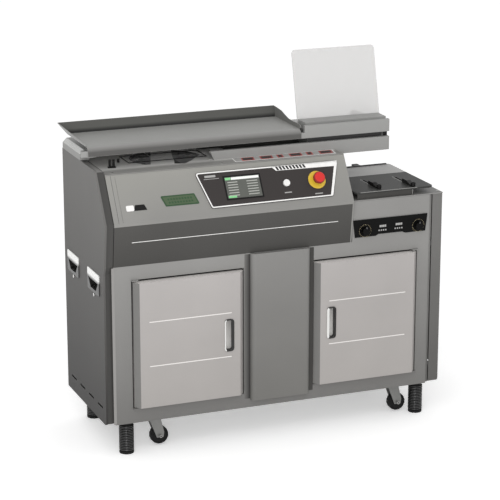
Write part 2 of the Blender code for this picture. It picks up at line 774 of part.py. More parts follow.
def left_panel_outline():
    """The left side panel in (y, z)."""
    points = panel_edge_line() + [(CABINET_DEPTH, LEFT_PANEL_TOP), (CABINET_DEPTH, CABINET_BASE)]
    ridge_round = PANEL_CORNER / 2
    return rounded(points, [PANEL_CORNER, PANEL_CORNER, PANEL_CORNER, ridge_round, ridge_round, 0, 0])


def right_panel_outline():
    """The right side panel in (y, z)."""
    points = rectangle(PANEL_SETBACK, CABINET_DEPTH, CABINET_BASE, RIGHT_PANEL_TOP)
    return rounded(points, [PANEL_CORNER, 0, 0, 0])


def grip_outline(row, border):
    """Outline of a side handle's plate, or of its pocket when given a border."""
    points = rectangle(row - GRIP_WIDTH / 2, row + GRIP_WIDTH / 2, GRIP_BOTTOM, GRIP_TOP)
    return rounded(inset(points, border), GRIP_CORNER) if border < GRIP_CORNER else inset(points, border)


def grip_mouth(row):
    """The opening under the grip plate, narrower towards the bottom, in (y, z)."""
    half = GRIP_WIDTH / 2 - GRIP_RIM - GRIP_WALL
    low = GRIP_BOTTOM + GRIP_RIM + GRIP_WALL
    high = GRIP_TOP - GRIP_RIM - GRIP_WALL
    high -= (high - low) * GRIP_PLATE_SHARE
    return [(row - half + GRIP_TAPER, low), (row + half - GRIP_TAPER, low), (row + half, high),
            (row - half, high)]


def side_cutters(outer, inner):
    """Handle openings in a side panel."""
    cutters = []
    for row in GRIP_ROWS:
        cutters.append(prism(grip_outline(row, GRIP_RIM - FIT * 2), "X", outer, inner))
    return cutters


def slot_cutters(outer, inner):
    """Air slots near the foot of a side panel."""
    cutters = []
    for row in SLOT_ROWS:
        slot = rectangle(row - SLOT_LENGTH / 2, row + SLOT_LENGTH / 2, SLOT_LEVEL - SLOT_HEIGHT / 2,
                         SLOT_LEVEL + SLOT_HEIGHT / 2)
        cutters.append(prism(slot, "X", outer, inner))
    return cutters


def build_side_panels():
    """Both side panels: sheet pans with a fold all round."""
    left = pan(left_panel_outline(), "X", 0, LEFT_RIM, SHEET)
    reach = SHEET + OVERRUN
    left = less(left, *side_cutters(-OVERRUN, reach), *slot_cutters(-OVERRUN, reach))
    piece("left_side_panel", left, SIDE_GREY)
    right = pan(right_panel_outline(), "X", CABINET_WIDTH, CABINET_WIDTH - RIGHT_RIM, SHEET)
    limits = (CABINET_WIDTH - reach, CABINET_WIDTH + OVERRUN)
    right = less(right, *side_cutters(*limits), *slot_cutters(*limits))
    piece("right_side_panel", right, SIDE_GREY)


def grip(row, face, direction):
    """One side handle: a plate with a pocket behind it and a mouth low in the plate."""
    plate_back = face + direction * FIT
    plate_front = face + direction * (FIT + GRIP_PROUD)
    pocket_back = face - direction * GRIP_DEPTH
    body = prism(grip_outline(row, 0), "X", min(plate_back, plate_front), max(plate_back, plate_front))
    cup_span = (pocket_back, face + direction * (FIT + WELD))
    cup = prism(grip_outline(row, GRIP_RIM), "X", min(cup_span), max(cup_span))
    body = plus(body, cup)
    hollow_span = (pocket_back + direction * GRIP_WALL, plate_front - direction * GRIP_WALL)
    hollow = prism(grip_outline(row, GRIP_RIM + GRIP_WALL), "X", min(hollow_span), max(hollow_span))
    mouth_span = (pocket_back + direction * GRIP_WALL * 2, plate_front + direction * OVERRUN)
    mouth = prism(grip_mouth(row), "X", min(mouth_span), max(mouth_span))
    return less(body, hollow, mouth)


def build_side_handles():
    """Lifting handles let into both side panels."""
    for end, row in zip(("front", "rear"), GRIP_ROWS):
        piece("left_" + end + "_handle", grip(row, 0, -1), PLATED)
        piece("right_" + end + "_handle", grip(row, CABINET_WIDTH, 1), PLATED)


def build_edge_trim():
    """Dark strip between the left side panel's edge and the face frame."""
    line = panel_edge_line()
    outer = [(line[0][0] + TRIM_SETBACK, BASE_BOTTOM)]
    for place in (1, 2, 3):
        outer.append(corner_shift(line[place - 1], line[place], line[place + 1], -TRIM_SETBACK))
    outer.append(corner_shift(line[3], line[4], (CABINET_DEPTH, LEFT_PANEL_TOP), -TRIM_SETBACK))
    outer.append((TRIM_RETURN, LEFT_PANEL_TOP - TRIM_SETBACK))
    piece("edge_trim", prism(folded(outer, -SHEET), "X", LEFT_RIM + FIT, FRAME_LEFT - FIT), TRIM_DARK)


def build_face_frame():
    """Face frame with its apron, two framed openings and the doors' pivot tabs."""
    apron_top = RIGHT_PANEL_TOP - FIT
    head = FASCIA_FOOT - FIT
    outline = [(FRAME_LEFT, CABINET_BASE), (FRAME_RIGHT, CABINET_BASE), (FRAME_RIGHT, apron_top),
               (APRON_LEFT, apron_top), (APRON_LEFT, head), (FRAME_LEFT, head)]
    solid = prism(outline, "Y", 0, FRAME_DEPTH)
    pocket = prism(inset(outline, FRAME_SHEET), "Y", FRAME_SHEET, FRAME_DEPTH + OVERRUN)
    openings = [rectangle(*span, OPENING_BOTTOM, OPENING_TOP) for span in (LEFT_OPENING, RIGHT_OPENING)]
    for opening in openings:
        pocket = less(pocket, prism(inset(opening, -FRAME_SHEET), "Y", 0, FRAME_DEPTH + OVERRUN * 2))
    solid = less(solid, pocket)
    for opening in openings:
        solid = less(solid, prism(opening, "Y", -OVERRUN, FRAME_DEPTH + OVERRUN))
    for place in DIAL_PLACES:
        solid = less(solid, cylinder("Y", (place, DIAL_HEIGHT), DIAL_HOLE, -OVERRUN, FRAME_SHEET + OVERRUN))
    ledge = PANEL_SETBACK + TRIM_SETBACK
    solid = plus(solid, box((FRAME_RIGHT - WELD, CABINET_WIDTH - RIGHT_RIM - FIT), (ledge, ledge + SHEET),
                            (CABINET_BASE, apron_top)))
    for side, sign in (("left", 1), ("right", -1)):
        pivot = door_pivot(side)
        edge = LEFT_OPENING[0] if side == "left" else RIGHT_OPENING[1]
        reach = (edge - sign * WELD, pivot[0] + sign * PIVOT_BOSS)
        for low, high, start, end in (
                (OPENING_TOP - TAB_SHEET, OPENING_TOP + WELD, DOOR_TOP - DOOR_SHEET, OPENING_TOP - WELD),
                (OPENING_BOTTOM - WELD, OPENING_BOTTOM + TAB_SHEET, OPENING_BOTTOM + WELD,
                 DOOR_BOTTOM + DOOR_SHEET)):
            tab = box((min(reach), max(reach)), (pivot[1] - PIVOT_BOSS, FRAME_SHEET), (low, high))
            pin = cylinder("Z", pivot, PIVOT_RADIUS, start, end)
            solid = plus(solid, plus(tab, pin))
    piece("front_frame", solid, FRAME_GREY)


def door_pivot(side):
    """Where a door turns, as (x, y)."""
    span = DOOR_SPANS[side]
    across = span[0] + PIVOT_INSET if side == "left" else span[1] - PIVOT_INSET
    return (across, -PIVOT_SETFORWARD)


def door_section(span, wall):
    """A door cut level, as (x, y): a pan whose sides slope out to the face."""
    low, high = span
    points = [(low, DOOR_INSIDE), (low, -DOOR_STEP), (low + DOOR_BEVEL, -DOOR_PROUD),
              (high - DOOR_BEVEL, -DOOR_PROUD), (high, -DOOR_STEP), (high, DOOR_INSIDE)]
    if not wall:
        return points
    inner = inset(points, wall)
    inner[0] = (inner[0][0], DOOR_INSIDE + OVERRUN)
    inner[-1] = (inner[-1][0], DOOR_INSIDE + OVERRUN)
    return inner


def pull_centre(side):
    """Middle of a door's pull across the door."""
    span = DOOR_SPANS[side]
    return span[1] - PULL_FROM_EDGE if side == "left" else span[0] + PULL_FROM_EDGE


def pull_outline(side, border):
    """Outline of a pull's plate in (x, z), or of its pocket when given a border."""
    middle = pull_centre(side)
    points = rectangle(middle - PULL_WIDTH / 2, middle + PULL_WIDTH / 2, PULL_BOTTOM, PULL_TOP)
    return rounded(inset(points, border), PULL_CORNER - border)


def build_door(side):
    """A door pan with two raised lines, pivot holes and an opening for its pull."""
    span = DOOR_SPANS[side]
    body = prism(door_section(span, 0), "Z", DOOR_BOTTOM, DOOR_TOP)
    inside = prism(door_section(span, DOOR_SHEET), "Z", DOOR_BOTTOM + DOOR_SHEET, DOOR_TOP - DOOR_SHEET)
    body = less(body, inside)
    face = -DOOR_PROUD
    for height in EMBOSS_HEIGHTS:
        line = rectangle(span[0] + DOOR_BEVEL + EMBOSS_SIDE, span[1] - DOOR_BEVEL - EMBOSS_SIDE,
                         height - EMBOSS_WIDTH / 2, height + EMBOSS_WIDTH / 2)
        body = plus(body, prism(line, "Y", face - EMBOSS_DEPTH, face + WELD))
    hole = prism(pull_outline(side, PULL_RIM - FIT), "Y", face - OVERRUN, face + DOOR_SHEET + OVERRUN)
    body = less(body, hole)
    pivot = door_pivot(side)
    for low in (DOOR_BOTTOM - OVERRUN, DOOR_TOP - DOOR_SHEET - OVERRUN):
        body = less(body, cylinder("Z", pivot, PIVOT_HOLE, low, low + DOOR_SHEET + OVERRUN * 2))
    origin = (*pivot, DOOR_BOTTOM)
    piece(side + "_door", body, DOOR_GREY, origin)
    plate = prism(pull_outline(side, 0), "Y", face - FIT - PULL_PROUD, face - FIT)
    cup = prism(pull_outline(side, PULL_RIM), "Y", face - FIT - WELD, face + PULL_DEPTH)
    pocket = prism(pull_outline(side, PULL_RIM + PULL_WALL), "Y", face - PULL_PROUD + PULL_WALL,
                   face + PULL_DEPTH - PULL_WALL)
    sign = 1 if side == "left" else -1
    middle = pull_centre(side)
    half = PULL_WIDTH / 2 - PULL_RIM - PULL_WALL
    limits = (middle - sign * half, middle + sign * (half - PULL_LIP))
    border = PULL_RIM + PULL_WALL
    mouth = rounded(rectangle(min(limits), max(limits), PULL_BOTTOM + border, PULL_TOP - border),
                    PULL_CORNER - border)
    mouth = prism(mouth, "Y", face - PULL_PROUD - OVERRUN, face + PULL_WALL)
    piece(side + "_door_handle", less(plus(plate, cup), pocket, mouth), PLATED, origin)


def build_centre_panel():
    """Raised cover between the doors, open at the back."""
    front = -FIT - CENTRE_PROUD
    points = [(CENTRE_LEFT, -FIT), (CENTRE_LEFT, front), (CENTRE_RIGHT, front), (CENTRE_RIGHT, -FIT)]
    outer = rounded(points, [0, CENTRE_CORNER, CENTRE_CORNER, 0], 4)
    inner = [(CENTRE_LEFT + SHEET, OVERRUN), (CENTRE_LEFT + SHEET, front + SHEET),
             (CENTRE_RIGHT - SHEET, front + SHEET), (CENTRE_RIGHT - SHEET, OVERRUN)]
    inner = rounded(inner, [0, CENTRE_CORNER - SHEET, CENTRE_CORNER - SHEET, 0], 4)
    top = FASCIA_FOOT - FIT
    body = prism(outer, "Z", CENTRE_BOTTOM, top)
    piece("centre_panel", less(body, prism(inner, "Z", CENTRE_BOTTOM + SHEET, top - SHEET)), FRAME_GREY)


def build_base():
    """Floor sheet on two box beams, with bores for the feet's studs and the castors' stems."""
    left = SHEET + FIT
    right = CABINET_WIDTH - SHEET - FIT
    body = box((left, right), (FRONT_BEAM[0], REAR_BEAM[1]), (BASE_TOP - WELD, FLOOR_TOP))
    for front, back in (FRONT_BEAM, REAR_BEAM):
        body = plus(body, box((left, right), (front, back), (BASE_BOTTOM, BASE_TOP)))
        hollow = box((left - OVERRUN, right + OVERRUN), (front + BEAM_WALL, back - BEAM_WALL),
                     (BASE_BOTTOM + BEAM_WALL, BASE_TOP - BEAM_WALL))
        body = less(body, hollow)
    bores = ((FOOT_PLACES, FOOT_ROWS, STUD_HOLE), (CASTOR_PLACES, CASTOR_ROWS, STEM_HOLE))
    for places, rows, radius in bores:
        for across in places:
            for row in rows:
                bore = cylinder("Z", (across, row), radius, BASE_BOTTOM - OVERRUN,
                                BASE_BOTTOM + BEAM_WALL + OVERRUN, FOOT_SIDES)
                body = less(body, bore)
    piece("base_frame", body, INNER_STEEL)


def build_inner_frame():
    """Main shelf with the two partitions that carry it."""
    back = CABINET_DEPTH - BACK_PANEL_SHEET - FIT * 2
    front = FRAME_DEPTH + WELD
    body = box((LEFT_RIM + FIT, CABINET_WIDTH - RIGHT_RIM - FIT), (front, back), (SHELF_HEIGHT, SHELF_TOP))
    for place, sign in zip(PARTITIONS, (1, -1)):
        flange = place + sign * PARTITION_FLANGE
        line = [(flange, front), (place, front), (place, back), (flange, back)]
        section = folded(line, -SHEET * sign)
        body = plus(body, prism(section, "Z", FLOOR_TOP + FIT, SHELF_HEIGHT + WELD))
    piece("inner_frame", body, INNER_STEEL)


def build_fascias():
    """The two sheets of the sloping front."""
    flange_height = DECK_TOP - DECK_SHEET - FIT
    top_edge = -RIDGE_REACH + (flange_height - RIDGE_HEIGHT) * SLOPE
    lower = Vector((RIDGE_REACH, FASCIA_FOOT - RIDGE_HEIGHT)).normalized()
    ridge = Vector((-RIDGE_REACH, RIDGE_HEIGHT))
    line = [(top_edge + FASCIA_FLANGE, flange_height), (top_edge, flange_height), tuple(ridge),
            tuple(ridge + lower * RIDGE_FOLD)]
    upper = prism(folded(line, SHEET), "X", HOUSING_LEFT, HOUSING_RIGHT + WELD)
    window = rectangle(SCREEN_LEFT - FASCIA_CUT_MARGIN, SCREEN_RIGHT + FASCIA_CUT_MARGIN,
                       SCREEN_LOW - FASCIA_CUT_MARGIN, SCREEN_HIGH + FASCIA_CUT_MARGIN)
    cutters = [prism(window, "Z", -OVERRUN, OVERRUN),
               cylinder("Z", BUTTON_PLACE, BUTTON_RADIUS + HOLE_PLAY, -OVERRUN, OVERRUN),
               cylinder("Z", STOP_PLACE, STOP_BORE + HOLE_PLAY, -OVERRUN, OVERRUN)]
    upper = less(upper, *[moved(cutter, slope_matrix(0, 0)) for cutter in cutters])
    piece("upper_fascia", plus(upper, housing_end()), FASCIA_GREY)
    line = [tuple(ridge + lower * (RIDGE_FOLD + FIT)), (0, FASCIA_FOOT), (FASCIA_FLANGE, FASCIA_FOOT)]
    piece("lower_fascia", prism(folded(line, SHEET), "X", HOUSING_LEFT, HOUSING_RIGHT - FIT), DARK_FASCIA)


def housing_end():
    """Wall, welded to the upper fascia, that closes the housing above the nipping station."""
    back = CABINET_DEPTH - BACK_PANEL_SHEET - FIT * 2
    beam_row = BEAM_FRONT - FIT
    foot = FASCIA_FOOT + FIT
    outline = [(0, foot), (FRAME_DEPTH + WELD, foot), (FRAME_DEPTH + WELD, SHELF_TOP + FIT),
               (back, SHELF_TOP + FIT),
               (back, LOWER_BEAM_BOTTOM - FIT), (beam_row, LOWER_BEAM_BOTTOM - FIT), (beam_row, DECK_TOP),
               (DECK_EDGE, DECK_TOP), (-RIDGE_REACH, RIDGE_HEIGHT)]
    return prism(outline, "X", HOUSING_RIGHT, HOUSING_RIGHT + SHEET * 2)


def build_deck():
    """Deck plate with the cutter's opening, crossed by a strap."""
    left = HOUSING_LEFT + FIT
    right = HOUSING_RIGHT - FIT
    beam_row = BEAM_FRONT - FIT
    behind = BEAM_BACK + FIT
    notch = LOWER_BEAM_LEFT - FIT
    outline = [(left, DECK_EDGE), (right, DECK_EDGE), (right, beam_row), (notch, beam_row), (notch, behind),
               (DECK_STEP, behind), (DECK_STEP, DECK_BACK), (left, DECK_BACK)]
    low = DECK_TOP - DECK_SHEET
    opening = cylinder("Z", CUTTER_PLACE, CUTTER_OPENING, low - OVERRUN, DECK_TOP + OVERRUN, 36)
    reach = CUTTER_OPENING + OVERRUN
    strap = box(CUTTER_STRAP, (CUTTER_PLACE[1] - reach, CUTTER_PLACE[1] + reach),
                (low - OVERRUN * 2, DECK_TOP + OVERRUN * 2))
    piece("deck_plate", less(prism(outline, "Z", low, DECK_TOP), less(opening, strap)), FASCIA_GREY)


def build_cutter():
    """Milling cutter under the deck, its motor and its clear guard."""
    top = DECK_TOP - DECK_SHEET - CUTTER_SINK
    low = top - CUTTER_DISC
    wheel = [(0, low - CUTTER_SHAFT_LENGTH), (CUTTER_SHAFT, low - CUTTER_SHAFT_LENGTH), (CUTTER_SHAFT, low),
             (CUTTER_RADIUS, low), (CUTTER_RADIUS, top), (CUTTER_HUB, top), (0, top)]
    body = turned(wheel, 28)
    for tooth in range(CUTTER_TEETH):
        block = box((CUTTER_RADIUS - CUTTER_TOOTH * 2, CUTTER_RADIUS - CUTTER_TOOTH),
                    (-CUTTER_TOOTH / 2, CUTTER_TOOTH / 4), (top - WELD, top + CUTTER_TOOTH_RISE))
        moved(block, Matrix.Rotation(2 * math.pi * tooth / CUTTER_TEETH, 4, "Z"))
        body = plus(body, block)
    moved(body, Matrix.Translation((*CUTTER_PLACE, 0)))
    piece("milling_cutter", body, CUTTER_STEEL, (*CUTTER_PLACE, top), 30)
    head = low - FIT * 3
    foot = SHELF_TOP + FIT
    neck = head - MOTOR_HEAD
    seat = foot + MOTOR_FLANGE_SHEET
    profile = [(0, foot), (MOTOR_FLANGE, foot), (MOTOR_FLANGE, seat), (MOTOR_RADIUS, seat),
               (MOTOR_RADIUS, neck), (MOTOR_RADIUS / 2, head), (0, head)]
    motor = moved(turned(profile), Matrix.Translation((*CUTTER_PLACE, 0)))
    for fin in range(MOTOR_FINS):
        angle = 2 * math.pi * fin / MOTOR_FINS
        blade = box((MOTOR_RADIUS / 2, MOTOR_RADIUS + MOTOR_FIN_RISE), (-SHEET, SHEET), (seat - WELD, neck))
        moved(blade, Matrix.Translation((*CUTTER_PLACE, 0)) @ Matrix.Rotation(angle, 4, "Z"))
        motor = plus(motor, blade)
    bore = cylinder("Z", CUTTER_PLACE, MOTOR_BORE, low - CUTTER_SHAFT_LENGTH - FIT, head + OVERRUN)
    piece("cutter_motor", less(motor, bore), INNER_STEEL, (0, 0, 0), 30)
    sheet_bottom = DECK_TOP + GUARD_POST
    outline = rounded(rectangle(GUARD_LEFT, GUARD_RIGHT, GUARD_FRONT, GUARD_BACK), GUARD_CORNER)
    guard = prism(outline, "Z", sheet_bottom, sheet_bottom + GUARD_SHEET)
    for across in (GUARD_LEFT + GUARD_CORNER, GUARD_RIGHT - GUARD_CORNER / 2):
        for row in (GUARD_FRONT + GUARD_CORNER, GUARD_BACK - GUARD_CORNER):
            post = cylinder("Z", (across, row), GUARD_POST_RADIUS / 2, DECK_TOP + FIT,
                            sheet_bottom + WELD, GUARD_POST_SIDES)
            guard = plus(guard, post)
    piece("cutter_guard", guard, CLEAR)


def build_glue_station():
    """Glue tank on legs with two applicator rollers."""
    body = box((TANK_LEFT, TANK_RIGHT), (TANK_FRONT, TANK_BACK), (TANK_BOTTOM, TANK_TOP))
    hollow = box((TANK_LEFT + TANK_WALL, TANK_RIGHT - TANK_WALL),
                 (TANK_FRONT + TANK_WALL, TANK_BACK - TANK_WALL),
                 (TANK_BOTTOM + TANK_WALL, TANK_TOP + OVERRUN))
    body = less(body, hollow)
    for across in ROLLER_PLACES:
        body = less(body, cylinder("Y", (across, ROLLER_HEIGHT), ROLLER_BORE, TANK_FRONT - OVERRUN,
                                   TANK_BACK + OVERRUN))
    for across in (TANK_LEFT, TANK_RIGHT - TANK_LEG):
        for row in (TANK_FRONT, TANK_BACK - TANK_LEG):
            leg = box((across, across + TANK_LEG), (row, row + TANK_LEG),
                      (SHELF_TOP + FIT, TANK_BOTTOM + WELD))
            body = plus(body, leg)
    piece("glue_tank", body, INNER_STEEL)
    middle = (TANK_FRONT + TANK_BACK) / 2
    for name, across in zip(("first_glue_roller", "second_glue_roller"), ROLLER_PLACES):
        centre = (across, ROLLER_HEIGHT)
        roller = cylinder("Y", centre, ROLLER_RADIUS, middle - ROLLER_LENGTH / 2, middle + ROLLER_LENGTH / 2)
        axle = cylinder("Y", centre, ROLLER_AXLE, TANK_FRONT + FIT, TANK_BACK + ROLLER_OVERHANG)
        wheel = cylinder("Y", centre, ROLLER_WHEEL, TANK_BACK + ROLLER_OVERHANG - WELD,
                         TANK_BACK + ROLLER_OVERHANG + ROLLER_WHEEL_WIDTH)
        piece(name, plus(roller, axle, wheel), PLATED, (across, middle, ROLLER_HEIGHT), 30)


def build_beams():
    """The two front beams with the dark slot between them."""
    low = [(LOWER_BEAM_LEFT + LOWER_BEAM_RAKE, LOWER_BEAM_BOTTOM), (BEAM_RIGHT, LOWER_BEAM_BOTTOM),
           (BEAM_RIGHT, LOWER_BEAM_TOP), (LOWER_BEAM_LEFT, LOWER_BEAM_TOP)]
    piece("lower_beam", pan(low, "Y", BEAM_FRONT, BEAM_BACK, BEAM_SHEET), BEAM_GREY)
    high = [(UPPER_BEAM_LEFT, UPPER_BEAM_BOTTOM), (BEAM_RIGHT, UPPER_BEAM_BOTTOM),
            (BEAM_RIGHT, UPPER_BEAM_HIGH), (UPPER_BEAM_STEP, UPPER_BEAM_HIGH),
            (UPPER_BEAM_STEP, UPPER_BEAM_TOP), (UPPER_BEAM_LEFT, UPPER_BEAM_TOP)]
    piece("upper_beam", pan(high, "Y", BEAM_FRONT, BEAM_BACK, BEAM_SHEET), BEAM_GREY)


def build_back_beam():
    """Channel along the back with the right end plate and the tray's hinge pins."""
    line = [(BACK_BEAM_FRONT, BACK_BEAM_TOP), (BACK_BEAM_BACK, BACK_BEAM_TOP),
            (BACK_BEAM_BACK, BACK_BEAM_BOTTOM), (BACK_BEAM_FRONT, BACK_BEAM_BOTTOM)]
    body = prism(folded(line, -BACK_BEAM_SHEET), "X", END_BLOCK_WIDTH + FIT, END_PLATE_RIGHT)
    plate = box((END_PLATE_LEFT, END_PLATE_RIGHT), (BEAM_BACK + FIT, BACK_BEAM_BACK),
                (END_PLATE_BOTTOM, END_PLATE_TOP))
    body = plus(body, plate)
    for row in ROD_ROWS:
        body = less(body, cylinder("X", (row, ROD_HEIGHT), ROD_BORE, END_PLATE_LEFT - OVERRUN,
                                   END_PLATE_LEFT + ROD_SEAT))
    half = HINGE_LENGTH / 2
    for middle in HINGE_PLACES:
        for low in (middle - half - HINGE_EAR, middle + half):
            ear = box((low, low + HINGE_EAR), (HINGE_ROW - HINGE_BARREL, HINGE_ROW + HINGE_BARREL),
                      (BACK_BEAM_TOP - WELD, HINGE_HEIGHT + HINGE_BARREL))
            body = plus(body, ear)
        pin = cylinder("X", (HINGE_ROW, HINGE_HEIGHT), HINGE_PIN, middle - half - HINGE_EAR / 2,
                       middle + half + HINGE_EAR / 2)
        body = plus(body, pin)
    piece("rear_beam", body, BEAM_GREY)


def build_end_block():
    """Chamfered block at the left end that carries the beam, with the two guide rods pressed into it."""
    foot = LEFT_PANEL_TOP + FIT
    outline = [(0, foot), (END_BLOCK_WIDTH, foot), (END_BLOCK_WIDTH, END_BLOCK_TOP),
               (END_BLOCK_CHAMFER, END_BLOCK_TOP), (0, END_BLOCK_TOP - END_BLOCK_CHAMFER)]
    body = prism(outline, "Y", END_BLOCK_FRONT, END_BLOCK_BACK)
    tongue_left = (END_BLOCK_WIDTH - TONGUE_WIDTH) / 2
    tongue_top = END_BLOCK_TOP - TONGUE_HEIGHT / 4
    tongue = box((tongue_left, tongue_left + TONGUE_WIDTH), (BEAM_BACK + FIT, END_BLOCK_FRONT + WELD),
                 (tongue_top - TONGUE_HEIGHT, tongue_top))
    body = plus(body, tongue)
    for row in ROD_ROWS:
        rod = cylinder("X", (row, ROD_HEIGHT), ROD_RADIUS, END_BLOCK_WIDTH - ROD_SEAT,
                       END_PLATE_LEFT + ROD_SEAT - FIT)
        body = plus(body, rod)
    piece("end_block", body, BEAM_GREY, (0, 0, 0), 30)


def build_carriage():
    """Clamp carriage on the guide rods, with its fixed front jaw and its moving jaw."""
    body = box((CARRIAGE_LEFT, CARRIAGE_RIGHT), (CARRIAGE_FRONT, CARRIAGE_BACK),
               (CARRIAGE_BOTTOM, CARRIAGE_TOP))
    window = box((CARRIAGE_LEFT + WINDOW_INSET, CARRIAGE_RIGHT - WINDOW_INSET), (WINDOW_FRONT, WINDOW_BACK),
                 (CARRIAGE_BOTTOM - OVERRUN, CARRIAGE_TOP + OVERRUN))
    body = less(body, window)
    arm_front = JAW_FRONT + JAW_SHEET - WELD
    for low in (CARRIAGE_LEFT, CARRIAGE_RIGHT - CARRIAGE_ARM):
        arm = box((low, low + CARRIAGE_ARM), (arm_front, CARRIAGE_FRONT + WELD), (JAW_BOTTOM, JAW_TOP))
        body = plus(body, arm)
    jaw = box((CARRIAGE_LEFT, CARRIAGE_RIGHT), (JAW_FRONT, JAW_FRONT + JAW_SHEET), (JAW_BOTTOM, JAW_TOP))
    body = plus(body, jaw)
    for row in ROD_ROWS:
        body = less(body, cylinder("X", (row, ROD_HEIGHT), CARRIAGE_BORE, CARRIAGE_LEFT - OVERRUN,
                                   CARRIAGE_RIGHT + OVERRUN))
    bore_end = CARRIAGE_FRONT + JAW_PIN_REACH + JAW_TRAVEL + JAW_PIN_ROOM
    for across in JAW_PINS:
        body = less(body, cylinder("Y", (across, JAW_PIN_HEIGHT), JAW_PIN_BORE, CARRIAGE_FRONT - OVERRUN,
                                   bore_end))
    piece("clamp_carriage", body, INNER_STEEL, (CARRIAGE_LEFT, CARRIAGE_FRONT, ROD_HEIGHT))
    ends = (CARRIAGE_LEFT + CARRIAGE_ARM + JAW_END_GAP, CARRIAGE_RIGHT - CARRIAGE_ARM - JAW_END_GAP)
    back = MOVING_JAW_FRONT + MOVING_JAW_SHEET
    moving = box(ends, (MOVING_JAW_FRONT, back), (JAW_BOTTOM, JAW_TOP))
    for across in JAW_PINS:
        pin = cylinder("Y", (across, JAW_PIN_HEIGHT), JAW_PIN_RADIUS, back - WELD,
                       CARRIAGE_FRONT + JAW_PIN_REACH)
        moving = plus(moving, pin)
    piece("moving_jaw", moving, PLATED, (CARRIAGE_LEFT, MOVING_JAW_FRONT, JAW_PIN_HEIGHT))


def build_stop_strip():
    """Back stop over the clamp's mouth and the clear plate that leans behind it."""
    strip = [(STOP_STRIP_LEFT, STOP_STRIP_FRONT), (STOP_STRIP_RIGHT, STOP_STRIP_FRONT),
             (STOP_STRIP_RIGHT, STOP_STRIP_BACK), (STOP_STRIP_LEFT, STOP_STRIP_BACK)]
    body = pan(strip, "Z", STOP_STRIP_TOP, STOP_STRIP_BOTTOM, STOP_STRIP_SHEET)
    arm_low = END_PLATE_TOP + FIT
    arm_high = arm_low + STOP_ARM_SHEET
    arm_back = BACK_BEAM_BACK - OVERRUN
    for low in (STOP_STRIP_LEFT + FIT, END_PLATE_LEFT):
        arm = box((low, low + STOP_ARM_WIDTH), (STOP_STRIP_FRONT + OVERRUN, arm_back), (arm_low, arm_high))
        body = plus(body, arm)
    low = STOP_STRIP_LEFT + FIT
    foot = box((low, low + STOP_ARM_WIDTH), (arm_back - STOP_ARM_FOOT, arm_back),
               (BACK_BEAM_TOP + FIT, arm_low + WELD))
    piece("clamp_strip", plus(body, foot), BEAM_GREY)
    outline = rounded(rectangle(SUPPORT_LEFT, SUPPORT_RIGHT, 0, SUPPORT_HEIGHT),
                      [0, 0, SUPPORT_CORNER, SUPPORT_CORNER], 5)
    plate = prism(outline, "Y", 0, SUPPORT_SHEET)
    lean = Matrix.Rotation(-math.radians(SUPPORT_LEAN), 4, "X")
    drop = SUPPORT_SHEET * math.sin(math.radians(SUPPORT_LEAN))
    place = Matrix.Translation((0, STOP_STRIP_BACK + FIT, arm_high + FIT + drop))
    piece("support_plate", moved(plate, place @ lean), CLEAR)


